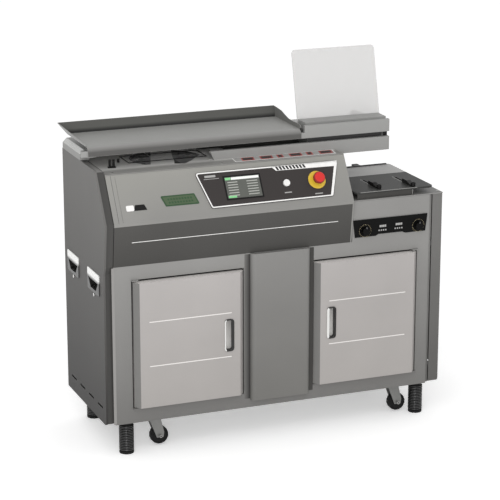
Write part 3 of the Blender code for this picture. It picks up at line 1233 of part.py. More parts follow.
def build_tray():
    """Tray cover: a dished sheet with flared walls and a rolled front, hinged at the back."""
    floor = TRAY_FLOOR
    front = TRAY_FRONT + TRAY_ROLL
    rim = TRAY_FLOOR + TRAY_RIM
    mesh = bmesh.new()
    corner = mesh.verts.new
    floor_back_left = corner((TRAY_FLOOR_LEFT, TRAY_FLOOR_BACK, floor))
    floor_back_right = corner((TRAY_FLOOR_RIGHT, TRAY_FLOOR_BACK, floor))
    floor_front_left = corner((TRAY_FLOOR_LEFT, front, floor))
    rim_back_left = corner((TRAY_FLOOR_LEFT - TRAY_FLARE_LEFT, TRAY_FLOOR_BACK + TRAY_FLARE_BACK, rim))
    front_height = TRAY_WALL_SHARES[-1][1]
    rim_front_left = corner((TRAY_FLOOR_LEFT - TRAY_FLARE_LEFT * front_height, TRAY_WALL_FRONT,
                             floor + TRAY_RIM * front_height))
    rim_right = []
    floor_right = [floor_back_right]
    for along, height in TRAY_WALL_SHARES:
        back = TRAY_FLOOR_BACK + TRAY_FLARE_BACK
        row = back + (TRAY_WALL_FRONT - back) * along
        across = TRAY_FLOOR_RIGHT + TRAY_FLARE_RIGHT * height
        rim_right.append(corner((across, row, floor + TRAY_RIM * height)))
        if along > 0:
            row = TRAY_FLOOR_BACK + (front - TRAY_FLOOR_BACK) * along
            floor_right.append(corner((TRAY_FLOOR_RIGHT, row, floor)))
    roll = []
    for step in range(1, TRAY_ROLL_STEPS + 1):
        angle = math.pi / 2 * step / TRAY_ROLL_STEPS
        roll.append((front - TRAY_ROLL * math.sin(angle), floor - TRAY_ROLL * (1 - math.cos(angle))))
    roll.append((TRAY_FRONT, TRAY_FOOT))
    mesh.faces.new([floor_back_left, floor_front_left] + floor_right[::-1])
    mesh.faces.new((floor_back_right, rim_right[0], rim_back_left, floor_back_left))
    mesh.faces.new((floor_front_left, floor_back_left, rim_back_left, rim_front_left))
    for i in range(len(rim_right) - 1):
        mesh.faces.new((floor_right[i], floor_right[i + 1], rim_right[i + 1], rim_right[i]))
    left, right = floor_front_left, floor_right[-1]
    for row, height in roll:
        next_left = corner((TRAY_FLOOR_LEFT, row, height))
        next_right = corner((TRAY_FLOOR_RIGHT, row, height))
        mesh.faces.new((left, next_left, next_right, right))
        left, right = next_left, next_right
    bmesh.ops.recalc_face_normals(mesh, faces=mesh.faces)
    data = bpy.data.meshes.new("work")
    mesh.to_mesh(data)
    mesh.free()
    sheet = bpy.data.objects.new("work", data)
    bpy.context.scene.collection.objects.link(sheet)
    solidify = sheet.modifiers.new("wall", "SOLIDIFY")
    solidify.thickness = TRAY_SHEET
    solidify.offset = 0
    solidify.use_even_offset = True
    made = bpy.data.meshes.new_from_object(sheet.evaluated_get(bpy.context.evaluated_depsgraph_get()))
    body = bmesh.new()
    body.from_mesh(made)
    bpy.data.objects.remove(sheet, do_unlink=True)
    bmesh.ops.recalc_face_normals(body, faces=body.faces)
    half = HINGE_LENGTH / 2 - HINGE_EAR_GAP
    under = floor - TRAY_SHEET / 2
    pivot = (HINGE_ROW, HINGE_HEIGHT)
    for middle in HINGE_PLACES:
        strap_line = [(TRAY_FLOOR_BACK - HINGE_STRAP_REACH, under + WELD), (TRAY_FLOOR_BACK, under + WELD),
                      (HINGE_ROW, HINGE_HEIGHT + HINGE_BARREL - HINGE_STRAP / 2)]
        strap = prism(folded(strap_line, -HINGE_STRAP), "X", middle - half, middle + half)
        barrel = cylinder("X", pivot, HINGE_BARREL, middle - half, middle + half)
        body = plus(body, plus(strap, barrel))
        body = less(body, cylinder("X", pivot, HINGE_BORE, middle - half - OVERRUN, middle + half + OVERRUN))
    piece("tray_cover", body, BEAM_GREY, (0, HINGE_ROW, HINGE_HEIGHT), 30)


def build_station():
    """Nipping station: cover sheet, table on rails, rear nip plate and two guides."""
    low = RIGHT_PANEL_TOP + FIT
    high = low + STATION_SHEET
    top = box((HOUSING_RIGHT + SHEET * 2 + FIT * 2, CABINET_WIDTH), (0, CABINET_DEPTH), (low, high))
    piece("station_top", top, FRAME_GREY)
    table_low = TABLE_TOP - TABLE_SHEET
    front = rectangle(TABLE_LEFT, TABLE_RIGHT, TABLE_FRONT, TABLE_SPLIT - FIT)
    chamfered = rounded(front, [TABLE_CHAMFER, TABLE_CHAMFER, 0, 0], 2)
    body = prism(chamfered, "Z", table_low, TABLE_TOP)
    for place in (TABLE_LEFT + RAIL_INSETS[0], TABLE_RIGHT - RAIL_INSETS[1] - RAIL_WIDTH):
        rail = box((place, place + RAIL_WIDTH), (RAIL_FRONT, RAIL_BACK), (high + FIT, table_low - FIT))
        tie = box((place, place + RAIL_WIDTH), (RAIL_FRONT, TABLE_SPLIT / 2),
                  (table_low - WELD, table_low + WELD))
        body = plus(body, plus(rail, tie))
    for across, start, end in GUIDE_SLOTS:
        slot = rounded(rectangle(across - GUIDE_SLOT_WIDTH / 2, across + GUIDE_SLOT_WIDTH / 2, start, end),
                       GUIDE_SLOT_WIDTH / 2 - FIT)
        body = less(body, prism(slot, "Z", table_low - OVERRUN, TABLE_TOP + OVERRUN))
    piece("nip_table", body, DARK_GLOSS)
    rear = rectangle(TABLE_LEFT, TABLE_RIGHT, TABLE_SPLIT, TABLE_BACK)
    chamfered = rounded(rear, [0, 0, TABLE_CHAMFER, TABLE_CHAMFER], 2)
    piece("rear_nip_plate", prism(chamfered, "Z", table_low, TABLE_TOP), BEAM_GREY,
          (TABLE_LEFT, TABLE_SPLIT, table_low))
    for name, (across, start, _) in zip(("left_guide", "right_guide"), GUIDE_SLOTS):
        stem_row = start + GUIDE_SLOT_WIDTH / 2 + FIT
        body_back = stem_row + GUIDE_WIDTH / 2
        foot = TABLE_TOP + FIT
        outline = [(body_back, foot), (body_back, foot + GUIDE_HEIGHT), (body_back - GUIDE_LENGTH / 2,
                   foot + GUIDE_HEIGHT), (body_back - GUIDE_LENGTH, foot + GUIDE_NECK / 2),
                   (body_back - GUIDE_LENGTH, foot)]
        guide = prism(outline, "X", across - GUIDE_WIDTH / 2, across + GUIDE_WIDTH / 2)
        stem = cylinder("Z", (across, stem_row), GUIDE_STEM_RADIUS, table_low - FIT - GUIDE_FOOT_HEIGHT,
                        foot + WELD)
        washer = cylinder("Z", (across, stem_row), GUIDE_FOOT_RADIUS, table_low - FIT - GUIDE_FOOT_HEIGHT,
                          table_low - FIT)
        piece(name, plus(guide, plus(stem, washer)), BLACK, (across, stem_row, TABLE_TOP))


def build_dials():
    """Dark plate on the apron with two turning dials."""
    run = DIAL_PLATE_RIGHT - DIAL_PLATE_LEFT
    notch = [DIAL_PLATE_LEFT + run * share for share in DIAL_NOTCH_SHARES]
    rise = DIAL_PLATE_BOTTOM + DIAL_NOTCH_RISE
    outline = [(DIAL_PLATE_LEFT, DIAL_PLATE_TOP), (DIAL_PLATE_LEFT + DIAL_PLATE_LEAN, DIAL_PLATE_BOTTOM),
               (notch[0], DIAL_PLATE_BOTTOM), (notch[1], rise), (notch[2], rise),
               (notch[3], DIAL_PLATE_BOTTOM), (DIAL_PLATE_RIGHT - DIAL_PLATE_LEAN, DIAL_PLATE_BOTTOM),
               (DIAL_PLATE_RIGHT, DIAL_PLATE_TOP)]
    face = -FIT - DIAL_PLATE_SHEET
    body = prism(outline, "Y", face, -FIT)
    for place in DIAL_PLACES:
        body = less(body, cylinder("Y", (place, DIAL_HEIGHT), DIAL_HOLE, face - OVERRUN, OVERRUN))
    piece("dial_plate", body, BLACK)
    for name, place in zip(("left_dial", "right_dial"), DIAL_PLACES):
        sides = DIAL_FLUTES * 4
        outline = []
        for step in range(sides):
            angle = 2 * math.pi * step / sides
            radius = DIAL_RADIUS - (DIAL_FLUTE if step % 4 < 2 else 0)
            outline.append((place + radius * math.cos(angle), DIAL_HEIGHT + radius * math.sin(angle)))
        back = face - FIT
        skirt = cylinder("Y", (place, DIAL_HEIGHT), DIAL_RING, back - DIAL_RING_SHEET, back, 24)
        knob = prism(outline, "Y", back - DIAL_LENGTH, back - DIAL_RING_SHEET + WELD)
        shaft = cylinder("Y", (place, DIAL_HEIGHT), DIAL_SHAFT, back - WELD, FRAME_SHEET + OVERRUN)
        piece(name, plus(skirt, knob, shaft), BLACK, (place, face, DIAL_HEIGHT))


def build_controls():
    """Control panel on the fascia with its screen, push button and emergency stop."""
    outline = rounded([PANEL_TOP_LEFT, PANEL_LOW_LEFT, PANEL_LOW_RIGHT, PANEL_TOP_RIGHT], PANEL_CORNERS, 2)
    base = slope_matrix(0, 0)
    face = FIT + PANEL_SHEET
    body = prism(outline, "Z", FIT, face)
    screen = rectangle(SCREEN_LEFT, SCREEN_RIGHT, SCREEN_LOW, SCREEN_HIGH)
    body = less(body, prism(inset(screen, -FIT), "Z", -OVERRUN, OVERRUN * 2))
    body = less(body, cylinder("Z", BUTTON_PLACE, BUTTON_RADIUS + HOLE_PLAY, -OVERRUN, OVERRUN * 2))
    body = less(body, cylinder("Z", STOP_PLACE, STOP_BORE + HOLE_PLAY, -OVERRUN, OVERRUN * 2))
    shelf = inset(screen, -FASCIA_CUT_MARGIN / 2)
    piece("control_panel", moved(body, base), TRIM_DARK)
    glass = prism(screen, "Z", -SCREEN_BODY, face + SCREEN_PROUD)
    lug = prism(shelf, "Z", -SHEET, 0)
    glass = plus(glass, lug)
    well = prism(inset(screen, SCREEN_RIM), "Z", face + SCREEN_PROUD - SCREEN_SINK, face + OVERRUN)
    piece("touch_screen", moved(less(glass, well), base), BLACK)
    cap = cylinder("Z", (0, 0), BUTTON_RADIUS, -SHEET, face + BUTTON_PROUD)
    stem = cylinder("Z", (0, 0), BUTTON_STEM, -BUTTON_STEM_LENGTH, 0)
    frame = slope_matrix(*BUTTON_PLACE)
    piece("push_button", moved(plus(cap, stem), frame), WHITE, frame.translation, 30)
    frame = slope_matrix(*STOP_PLACE)
    ring_low = face + FIT
    collar_top = ring_low + STOP_COLLAR_HEIGHT
    ring = [(0, ring_low), (STOP_RING, ring_low), (STOP_RING, ring_low + STOP_RING_SHEET / 2),
            (STOP_RING - STOP_RING_SHEET / 2, ring_low + STOP_RING_SHEET),
            (STOP_COLLAR, ring_low + STOP_RING_SHEET), (STOP_COLLAR, collar_top), (0, collar_top)]
    base_ring = less(turned(ring, 20), cylinder("Z", (0, 0), STOP_BORE, -OVERRUN, collar_top + OVERRUN))
    piece("estop_base", moved(base_ring, frame), YELLOW, (0, 0, 0), 30)
    head_low = collar_top + STOP_TRAVEL + FIT
    head_top = head_low + STOP_HEAD_HEIGHT
    head = [(0, head_low - STOP_STEM_LENGTH), (STOP_STEM, head_low - STOP_STEM_LENGTH), (STOP_STEM, head_low),
            (STOP_HEAD, head_low), (STOP_HEAD, head_top - STOP_HEAD_HEIGHT / 3),
            (STOP_HEAD * STOP_HEAD_SHARES[0], head_top - STOP_HEAD_HEIGHT / 12),
            (STOP_HEAD * STOP_HEAD_SHARES[1], head_top), (0, head_top)]
    piece("estop_button", moved(turned(head, 20), frame), RED, frame.translation, 30)


def build_back_panel():
    """Back panel with its vent slots and the mains inlet."""
    left = LEFT_RIM + FIT
    right = CABINET_WIDTH - RIGHT_RIM - FIT
    front = CABINET_DEPTH - FIT - BACK_PANEL_SHEET
    back = CABINET_DEPTH - FIT
    step = HOUSING_RIGHT + SHEET * 2 + FIT
    outline = [(left, BASE_BOTTOM), (right, BASE_BOTTOM), (right, RIGHT_PANEL_TOP - FIT),
               (step, RIGHT_PANEL_TOP - FIT), (step, BACK_PANEL_TOP), (left, BACK_PANEL_TOP)]
    body = prism(outline, "Y", front, back)
    flange = box((left, HOUSING_RIGHT), (back - BACK_PANEL_FLANGE, front + WELD),
                 (BACK_PANEL_TOP - BACK_PANEL_SHEET, BACK_PANEL_TOP))
    body = plus(body, flange)
    slots = []
    for middle in VENT_PLACES:
        for count in range(VENT_COUNT):
            level = VENT_BOTTOM + count * VENT_PITCH
            slots.append(prism(rectangle(middle - VENT_WIDTH / 2, middle + VENT_WIDTH / 2, level,
                                         level + VENT_HEIGHT), "Y", front - OVERRUN, back + OVERRUN))
    body = less(body, beside(*slots))
    across, height = INLET_PLACE
    plate = rectangle(across - INLET_WIDTH / 2, across + INLET_WIDTH / 2, height - INLET_HEIGHT / 2,
                      height + INLET_HEIGHT / 2)
    inner = inset(plate, INLET_RIM / 2)
    body = less(body, prism(inset(inner, -FIT), "Y", front - OVERRUN, back + OVERRUN))
    piece("rear_panel", body, SIDE_GREY)
    inlet = plus(prism(plate, "Y", back + FIT, back + INLET_PROUD), prism(inner, "Y", back - INLET_BODY,
                                                                          back + FIT + WELD))
    socket = prism(inset(plate, INLET_RIM), "Y", back - INLET_SOCKET, back + INLET_PROUD + OVERRUN)
    piece("power_inlet", less(inlet, socket), BLACK)


def build_foot(name, across, row):
    """Ribbed levelling foot on its stud."""
    top = BASE_BOTTOM - FIT
    pitch = (top - FOOT_SOLE) / FOOT_RIBS
    profile = [(0, 0), (FOOT_FLARE, 0), (FOOT_FLARE, FOOT_SOLE - FOOT_GROOVE)]
    for rib in range(FOOT_RIBS):
        start = FOOT_SOLE + pitch * rib
        profile.append((FOOT_RADIUS - FOOT_GROOVE, start))
        profile += [(FOOT_RADIUS, start + pitch * share) for share in FOOT_RIB_SHARES]
    profile += [(FOOT_RADIUS - FOOT_GROOVE, top), (STUD_RADIUS, top), (STUD_RADIUS, top + STUD_LENGTH),
                (0, top + STUD_LENGTH)]
    body = moved(turned(profile, FOOT_SIDES), Matrix.Translation((across, row, 0)))
    piece(name, body, RUBBER, (across, row, 0), 25)


def build_castor(name, across, row):
    """Swivel castor: a fork on the kingpin and a wheel on its axle."""
    head_top = BASE_BOTTOM - FIT
    crown_top = head_top - SWIVEL_SHEET
    crown_low = crown_top - FORK_CROWN_HEIGHT
    half = HUB_WIDTH / 2 + FORK_GAP
    wheel_at = across + WHEEL_TRAIL
    crown = cylinder("Z", (across, row), FORK_CROWN_RADIUS, crown_low, crown_top)
    narrow, wide = FORK_CHEEK_SHARES
    cheek_low = WHEEL_HEIGHT - HUB_RADIUS / 2
    cheek = [(across - FORK_CROWN_RADIUS * narrow, crown_low + WELD), (wheel_at - HUB_RADIUS, cheek_low),
             (wheel_at + HUB_RADIUS, cheek_low), (wheel_at + HUB_RADIUS * wide, WHEEL_HEIGHT + HUB_RADIUS),
             (across + FORK_CROWN_RADIUS, crown_low + WELD), (across + FORK_CROWN_RADIUS, crown_top - WELD),
             (across - FORK_CROWN_RADIUS * narrow, crown_top - WELD)]
    body = crown
    for low, high in ((row - half - FORK_SHEET, row - half), (row + half, row + half + FORK_SHEET)):
        body = plus(body, prism(cheek, "Y", low, high))
    axle = cylinder("Y", (wheel_at, WHEEL_HEIGHT), AXLE_RADIUS, row - half - FORK_SHEET / 2,
                    row + half + FORK_SHEET / 2)
    body = plus(body, axle)
    head = cylinder("Z", (across, row), SWIVEL_RADIUS, crown_top - WELD, head_top, FOOT_SIDES)
    stem = cylinder("Z", (across, row), STEM_RADIUS, head_top - WELD, BASE_BOTTOM + STEM_LENGTH, FOOT_SIDES)
    body = plus(body, head, stem)
    piece(name + "_fork", body, CASTOR_GREY, (across, row, crown_top))
    outer = WHEEL_WIDTH / 2
    disc = outer - SHEET
    near, middle, far = [WHEEL_RADIUS * share for share in TYRE_SHARES]
    half_profile = [(WHEEL_RADIUS, outer * TREAD_SHARE), (far, outer), (middle, outer), (near, disc),
                    (HUB_RADIUS, disc), (HUB_RADIUS, HUB_WIDTH / 2), (AXLE_HOLE, HUB_WIDTH / 2)]
    profile = [(radius, -height) for radius, height in half_profile[::-1]] + half_profile
    mesh = bmesh.new()
    rings = [[mesh.verts.new((x, y, height)) for x, y in circle((0, 0), radius, WHEEL_SIDES)]
             for radius, height in profile]
    for lower, upper in zip(rings, rings[1:] + rings[:1]):
        for i in range(WHEEL_SIDES):
            j = (i + 1) % WHEEL_SIDES
            mesh.faces.new((lower[i], lower[j], upper[j], upper[i]))
    bmesh.ops.recalc_face_normals(mesh, faces=mesh.faces)
    moved(mesh, Matrix.Translation((wheel_at, row, WHEEL_HEIGHT)) @ Matrix.Rotation(math.pi / 2, 4, "X"))
    piece(name + "_wheel", mesh, RUBBER, (wheel_at, row, WHEEL_HEIGHT), 30)


def build_all():
    """Make every piece."""
    build_base()
    build_inner_frame()
    build_side_panels()
    build_side_handles()
    build_edge_trim()
    build_face_frame()
    build_centre_panel()
    build_door("left")
    build_door("right")
    build_fascias()
    build_deck()
    build_cutter()
    build_glue_station()
    build_beams()
    build_back_beam()
    build_end_block()
    build_carriage()
    build_stop_strip()
    build_tray()
    build_station()
    build_dials()
    build_controls()
    build_back_panel()
    sides = ("left", "right")
    ends = ("front", "rear")
    for side, foot_column, castor_column in zip(sides, FOOT_PLACES, CASTOR_PLACES):
        for end, foot_row, castor_row in zip(ends, FOOT_ROWS, CASTOR_ROWS):
            build_foot(side + "_" + end + "_foot", foot_column, foot_row)
            build_castor(side + "_" + end + "_castor", castor_column, castor_row)


build_all()
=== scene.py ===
# %% [markdown]
# # Dressing a floor-standing book binder
# The steel cabinet, its doors, the clamp and every knob come from a CAD model in real metres. This
# script gives them finishes, adds the printed and fastened details, and sets up camera and light.
# Everything is placed in the frame of the CAD model, so nothing has to be fitted by eye.

# %% load the frame
import math

import bmesh
import bpy
from mathutils import Matrix, Vector


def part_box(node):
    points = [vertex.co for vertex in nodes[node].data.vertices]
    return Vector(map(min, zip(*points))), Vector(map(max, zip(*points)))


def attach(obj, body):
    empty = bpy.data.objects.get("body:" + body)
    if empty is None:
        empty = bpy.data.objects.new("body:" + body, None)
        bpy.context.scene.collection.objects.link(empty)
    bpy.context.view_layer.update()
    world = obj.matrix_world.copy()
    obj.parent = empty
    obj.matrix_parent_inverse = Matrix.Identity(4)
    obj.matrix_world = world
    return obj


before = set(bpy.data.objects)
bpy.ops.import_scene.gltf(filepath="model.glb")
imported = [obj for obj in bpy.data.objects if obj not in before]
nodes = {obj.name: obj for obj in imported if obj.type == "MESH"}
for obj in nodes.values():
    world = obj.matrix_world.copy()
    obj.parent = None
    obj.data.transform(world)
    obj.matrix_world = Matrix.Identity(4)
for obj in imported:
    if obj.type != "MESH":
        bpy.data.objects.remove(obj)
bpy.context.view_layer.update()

# %% [markdown]
# Sizes on the machine were measured from the outer face of the left side panel, the front plane of
# the face frame and the floor. Two CAD boxes give that corner, so a place measured on the machine
# becomes a place in the frame by one addition. A sheet that slopes gets a matrix of its own: what is
# drawn flat on the sheet, with its height above it as Z, is carried there by that matrix.

# %% the machine's corner and its sloping sheets
CORNER = Vector((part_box("left_side_panel")[0].x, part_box("station_top")[0].y, 0))


def at(x, y, z):
    """A place measured on the machine, in the frame."""
    return CORNER + Vector((x, y, z))


def sloped(up, origin):
    """Matrix of a sheet: X along the machine, Y up the sheet, Z out of its face."""
    along = Vector((1, 0, 0))
    turn = Matrix((along, up, along.cross(up))).transposed().to_4x4()
    return Matrix.Translation(origin) @ turn


# the upper fascia climbs backwards from the ridge, the dark one below it drops almost upright
RIDGE = at(0, -0.018, 0.760)
CLIMB = Vector((0, 0.086, 0.137)).normalized()
DROP = Vector((0, 0.018, -0.138)).normalized()
FASCIA = sloped(CLIMB, RIDGE)
APRON = sloped(-DROP, RIDGE)
UPRIGHT = sloped(Vector((0, 0, 1)), at(0, 0, 0))
print("machine corner", tuple(round(v, 4) for v in CORNER))
print("the fascia leans", round(math.degrees(math.asin(CLIMB.z)), 1), "degrees")

# %% [markdown]
# ## Materials
# Each finish is a small node tree on Object coordinates, which on these objects are metres, so a
# grain of half a millimetre is half a millimetre everywhere. One helper adds a node and fills its
# inputs; a value that is the same all over goes straight on the shader's socket.

# %% node helper and colours


def linear(code):
    """A written colour as linear values."""
    parts = [int(code[i:i + 2], 16) / 255 for i in (0, 2, 4)]
    return [v / 12.92 if v <= 0.04045 else ((v + 0.055) / 1.055) ** 2.4 for v in parts] + [1.0]


def put(tree, kind, inputs=None, **settings):
    """Add a node; each input is a plain value or another node's output."""
    made = tree.nodes.new(kind)
    for name, value in settings.items():
        setattr(made, name, value)
    for name, value in (inputs or {}).items():
        if isinstance(value, bpy.types.NodeSocket):
            tree.links.new(value, made.inputs[name])
        else:
            made.inputs[name].default_value = value
    return made


print("white is", linear("ffffff"))

# %% [markdown]
# Paint, plastic, metal and rubber differ in numbers more than in kind, so one builder makes them all.
# The tone is a mix over one axis, a slow noise is laid over it, and a fine noise drives the bump and
# the roughness. An image could hold all that, but it would need a layout for every sheet, and its
# grain would stretch where two sheets differ in size.

# %% one surface builder
# a noise texture keeps mostly between these two values
NOISE_LOW, NOISE_HIGH = 0.3, 0.7
BUMP = 0.35


def surface(name, low, high=None, span=(0.1, 0.9), rough=(0.42, 0.52), metallic=0.0, cloud=3.0,
            cloud_amount=0.05, grain=700.0, stretch=(1, 1, 1), depth=0.00004, specular=0.4, axis="Z"):
    """Tone from low to high over a span of one axis, with cloud, grain, bump and uneven gloss."""
    made = bpy.data.materials.new(name)
    made.use_nodes = True
    tree = made.node_tree
    shader = tree.nodes["Principled BSDF"]
    shader.inputs["Metallic"].default_value = metallic
    shader.inputs["Specular IOR Level"].default_value = specular
    where = put(tree, "ShaderNodeTexCoord").outputs["Object"]
    height = put(tree, "ShaderNodeSeparateXYZ", {"Vector": where}).outputs[axis]
    share = put(tree, "ShaderNodeMapRange", {"Value": height, "From Min": span[0], "From Max": span[1]})
    tone = put(tree, "ShaderNodeMix", {"Factor": share.outputs["Result"]}, data_type="RGBA")
    tone.inputs["A"].default_value = linear(low)
    tone.inputs["B"].default_value = linear(high or low)
    slow = put(tree, "ShaderNodeTexNoise", {"Vector": where, "Scale": cloud, "Detail": 3.0})
    shade = put(tree, "ShaderNodeMapRange", {
        "Value": slow.outputs["Fac"], "From Min": NOISE_LOW, "From Max": NOISE_HIGH,
        "To Min": 1 - cloud_amount, "To Max": 1 + cloud_amount})
    colour = put(tree, "ShaderNodeVectorMath", {0: tone.outputs["Result"]}, operation="SCALE")
    tree.links.new(shade.outputs["Result"], colour.inputs["Scale"])
    tree.links.new(colour.outputs["Vector"], shader.inputs["Base Color"])
    drawn = put(tree, "ShaderNodeMapping", {"Vector": where, "Scale": stretch})
    fine = put(tree, "ShaderNodeTexNoise", {"Vector": drawn.outputs["Vector"], "Scale": grain,
                                            "Detail": 2.0})
    gloss = put(tree, "ShaderNodeMapRange", {
        "Value": fine.outputs["Fac"], "From Min": NOISE_LOW, "From Max": NOISE_HIGH,
        "To Min": rough[0], "To Max": rough[1]})
    tree.links.new(gloss.outputs["Result"], shader.inputs["Roughness"])
    bump = put(tree, "ShaderNodeBump", {"Height": fine.outputs["Fac"], "Strength": BUMP,
                                        "Distance": depth})
    tree.links.new(bump.outputs["Normal"], shader.inputs["Normal"])
    return made


print("noise counts between", NOISE_LOW, "and", NOISE_HIGH)

# %% [markdown]
# Most of the machine is sheet steel with a satin powder coat. Close up such paint has a fine
# orange-peel skin; from a step away it has slow cloudy changes in tone. A tall panel is lighter at its
# top, where the room's light falls, than near the floor, and that light and shade is painted into its
# colour. So a paint is two tones of grey, painted shade below and painted light above, and the heights
# between which one turns into the other.

# %% paints and enamel
# Satin powder coat on folded sheet steel gives a soft, wide highlight and no mirror image. Its skin
# of about 1.5 mm is the default grain. Each group of panels has its own tone, with painted light and
# shade for the way it faces: the side panels are painted in shade, the leaning fascia in light.
frame_paint = surface("powder_coat_frame_grey", "737270", "8d8c8a", (0.11, 0.60), specular=0.2)
side_paint_in_shade = surface("powder_coat_side_painted_shade", "383736", "706f6d", (0.11, 0.90), specular=0.1)
right_paint_in_shade = surface("powder_coat_right_side_painted_shade", "5c5b59", "737270", (0.11, 0.75), specular=0.2)
door_paint = surface("powder_coat_door_grey", "a6a29f", "aeaaa8", (0.16, 0.57), specular=0.2)
fascia_paint = surface("powder_coat_fascia_grey", "8b8a87", "95948f", (0.76, 0.90), specular=0.2)
dark_paint = surface("powder_coat_dark_grey", "464543", "504f4d", (0.62, 0.76), specular=0.15)
centre_paint = surface("powder_coat_centre_grey", "72716e", "848381", (0.136, 0.62), specular=0.2)
beam_paint = surface("powder_coat_beam_grey", "979694", "9b9b99", (0.88, 0.98), specular=0.2)
# the deck is painted paler towards the cutter: painted light where the tray shades it
UNDER_TRAY_LIGHT = (CORNER.y + 0.112, CORNER.y + 0.135)
deck_paint = surface("powder_coat_deck_painted_light", "8e8d8a", "d2d1ce", UNDER_TRAY_LIGHT, specular=0.2, axis="Y")
# the nip plate is painted too, rubbed smoother by the books, and painted paler as painted light
# where the beams shade it
nip_paint = surface("powder_coat_nip_plate_painted_light", "a3a2a0", rough=(0.3, 0.4), specular=0.3, cloud=8.0,
                    cloud_amount=0.08)
# stoved enamel of the nipping table: dark and even, with a faint sheen
TABLE_SPAN = (0.77, 0.785)
table_enamel = surface("dark_satin_enamel", "3b3b3a", "454544", TABLE_SPAN, rough=(0.30, 0.40),
                       cloud=6.0, grain=400.0, depth=0.00001, specular=0.03)
print("paints:", [m.name for m in bpy.data.materials if m.name.startswith("powder")])

# %% [markdown]
# Bare metal shows its making: brushed or ground marks run one way, so the grain noise is stretched
# along the part. The lifting handles and door pulls are bright plated and almost mirror-like. A real
# mirror would show only a white room here, so the side handles carry a painted reflection instead:
# dark below a step in their tone for the floor side, and white above it.

# %% metals
# zinc-plated steel of shelves, carriage and tank: a dull metal with spangled patches
zinc_steel = surface("zinc_plated_steel", "7d7d7b", "8f8f8d", rough=(0.30, 0.45), metallic=0.75,
                     cloud=9.0, cloud_amount=0.10, grain=220.0, stretch=(0.05, 1, 1), depth=0.00003)
# bright nickel plate on pulls, rollers and jaw: nearly a mirror, with faint polishing marks
bright_plate = surface("bright_nickel_plate", "d6d6d4", rough=(0.10, 0.20), metallic=1.0, cloud=14.0,
                       cloud_amount=0.03, grain=300.0, stretch=(1, 0.1, 1), depth=0.00001)
# the same plate on the side handles with a painted reflection, dark below the step and white above it
HANDLE_REFLECTION_STEP = (0.560, 0.569)
handle_plate_painted_reflection = surface("bright_nickel_handle_painted_reflection", "3c3c3b", "f4f4f2", HANDLE_REFLECTION_STEP, rough=(0.2, 0.3),
                       metallic=0.3, cloud=14.0, cloud_amount=0.03, grain=300.0, stretch=(1, 0.1, 1),
                       depth=0.00001)
# ground tool steel of the milling disc: grey, with marks across the disc
tool_steel = surface("ground_tool_steel", "6a6968", rough=(0.28, 0.42), metallic=0.9, cloud=20.0,
                     cloud_amount=0.12, grain=500.0, stretch=(0.1, 1, 1), depth=0.00003)
# zinc die casting of the castor forks: duller than plate, slightly blotchy
castor_zinc = surface("grey_zinc_castor", "7a7a78", rough=(0.32, 0.45), metallic=0.5, cloud=12.0,
                      cloud_amount=0.08)
print("metals:", zinc_steel.name, bright_plate.name, tool_steel.name)

# %% [markdown]
# Moulded plastic has a fine spark-eroded texture, finer than paint, and rubber is matt with a faint
# grain. The two clear sheets are acrylic. Glass shading would bend and darken what lies behind them,
# and a thin flat sheet does neither, so they are a smooth plastic whose Alpha lets part of the light
# straight through.

# %% plastics, rubber and acrylic
# matt plastic of the trim strip and of the dark panel: no clear highlight
trim_plastic = surface("matt_trim_plastic", "3e3d3b", rough=(0.5, 0.62), grain=1500.0)
panel_plastic = surface("dark_panel_plastic", "353130", rough=(0.45, 0.55), grain=1500.0, specular=0.25)
# black plastics of guides and inlet, and the deeper black of dials and their plate; the black
# plastic also serves as painted shade on the rear beam's face in the slot between the beams
black_plastic_and_painted_shade = surface("moulded_black_plastic_and_painted_shade", "121111", rough=(0.38, 0.5), grain=1600.0, specular=0.2)
knob_plastic = surface("deep_black_plastic", "070707", rough=(0.4, 0.5), grain=1600.0, specular=0.1)
# coloured plastics of the switches: smoother, so they keep a clear highlight
signal_yellow = surface("yellow_moulded_plastic", "dcb93c", rough=(0.3, 0.4), grain=1400.0)
signal_red = surface("red_moulded_plastic", "d32c28", rough=(0.25, 0.36), grain=1400.0)
white_plastic = surface("white_moulded_plastic", "ecebe9", rough=(0.3, 0.4), grain=1400.0)
# vulcanised rubber of feet and tyres: black, with a dry sheen at most
tyre_rubber = surface("black_rubber", "0b0b0b", rough=(0.6, 0.75), grain=900.0, depth=0.0001,
                      specular=0.25)
# acrylic: a frosted sheet for the paper support, a clear one for the cutter's guard
frosted = surface("frosted_acrylic", "dddcdb", rough=(0.22, 0.32), grain=1200.0, cloud_amount=0.01)
clear = surface("clear_acrylic", "9c9b9a", rough=(0.04, 0.08), grain=200.0, depth=0.000005,
                cloud_amount=0.01)
for sheet, cover in ((frosted, 0.62), (clear, 0.10)):
    sheet.node_tree.nodes["Principled BSDF"].inputs["Alpha"].default_value = cover
print("materials so far:", len(bpy.data.materials))

# %% [markdown]
# A CAD node keeps its mesh and gets a finish by assigning to its material slots. One table of
# finishes and node names is easier to check than sixty separate lines, and the print below shows a
# node that was forgotten.

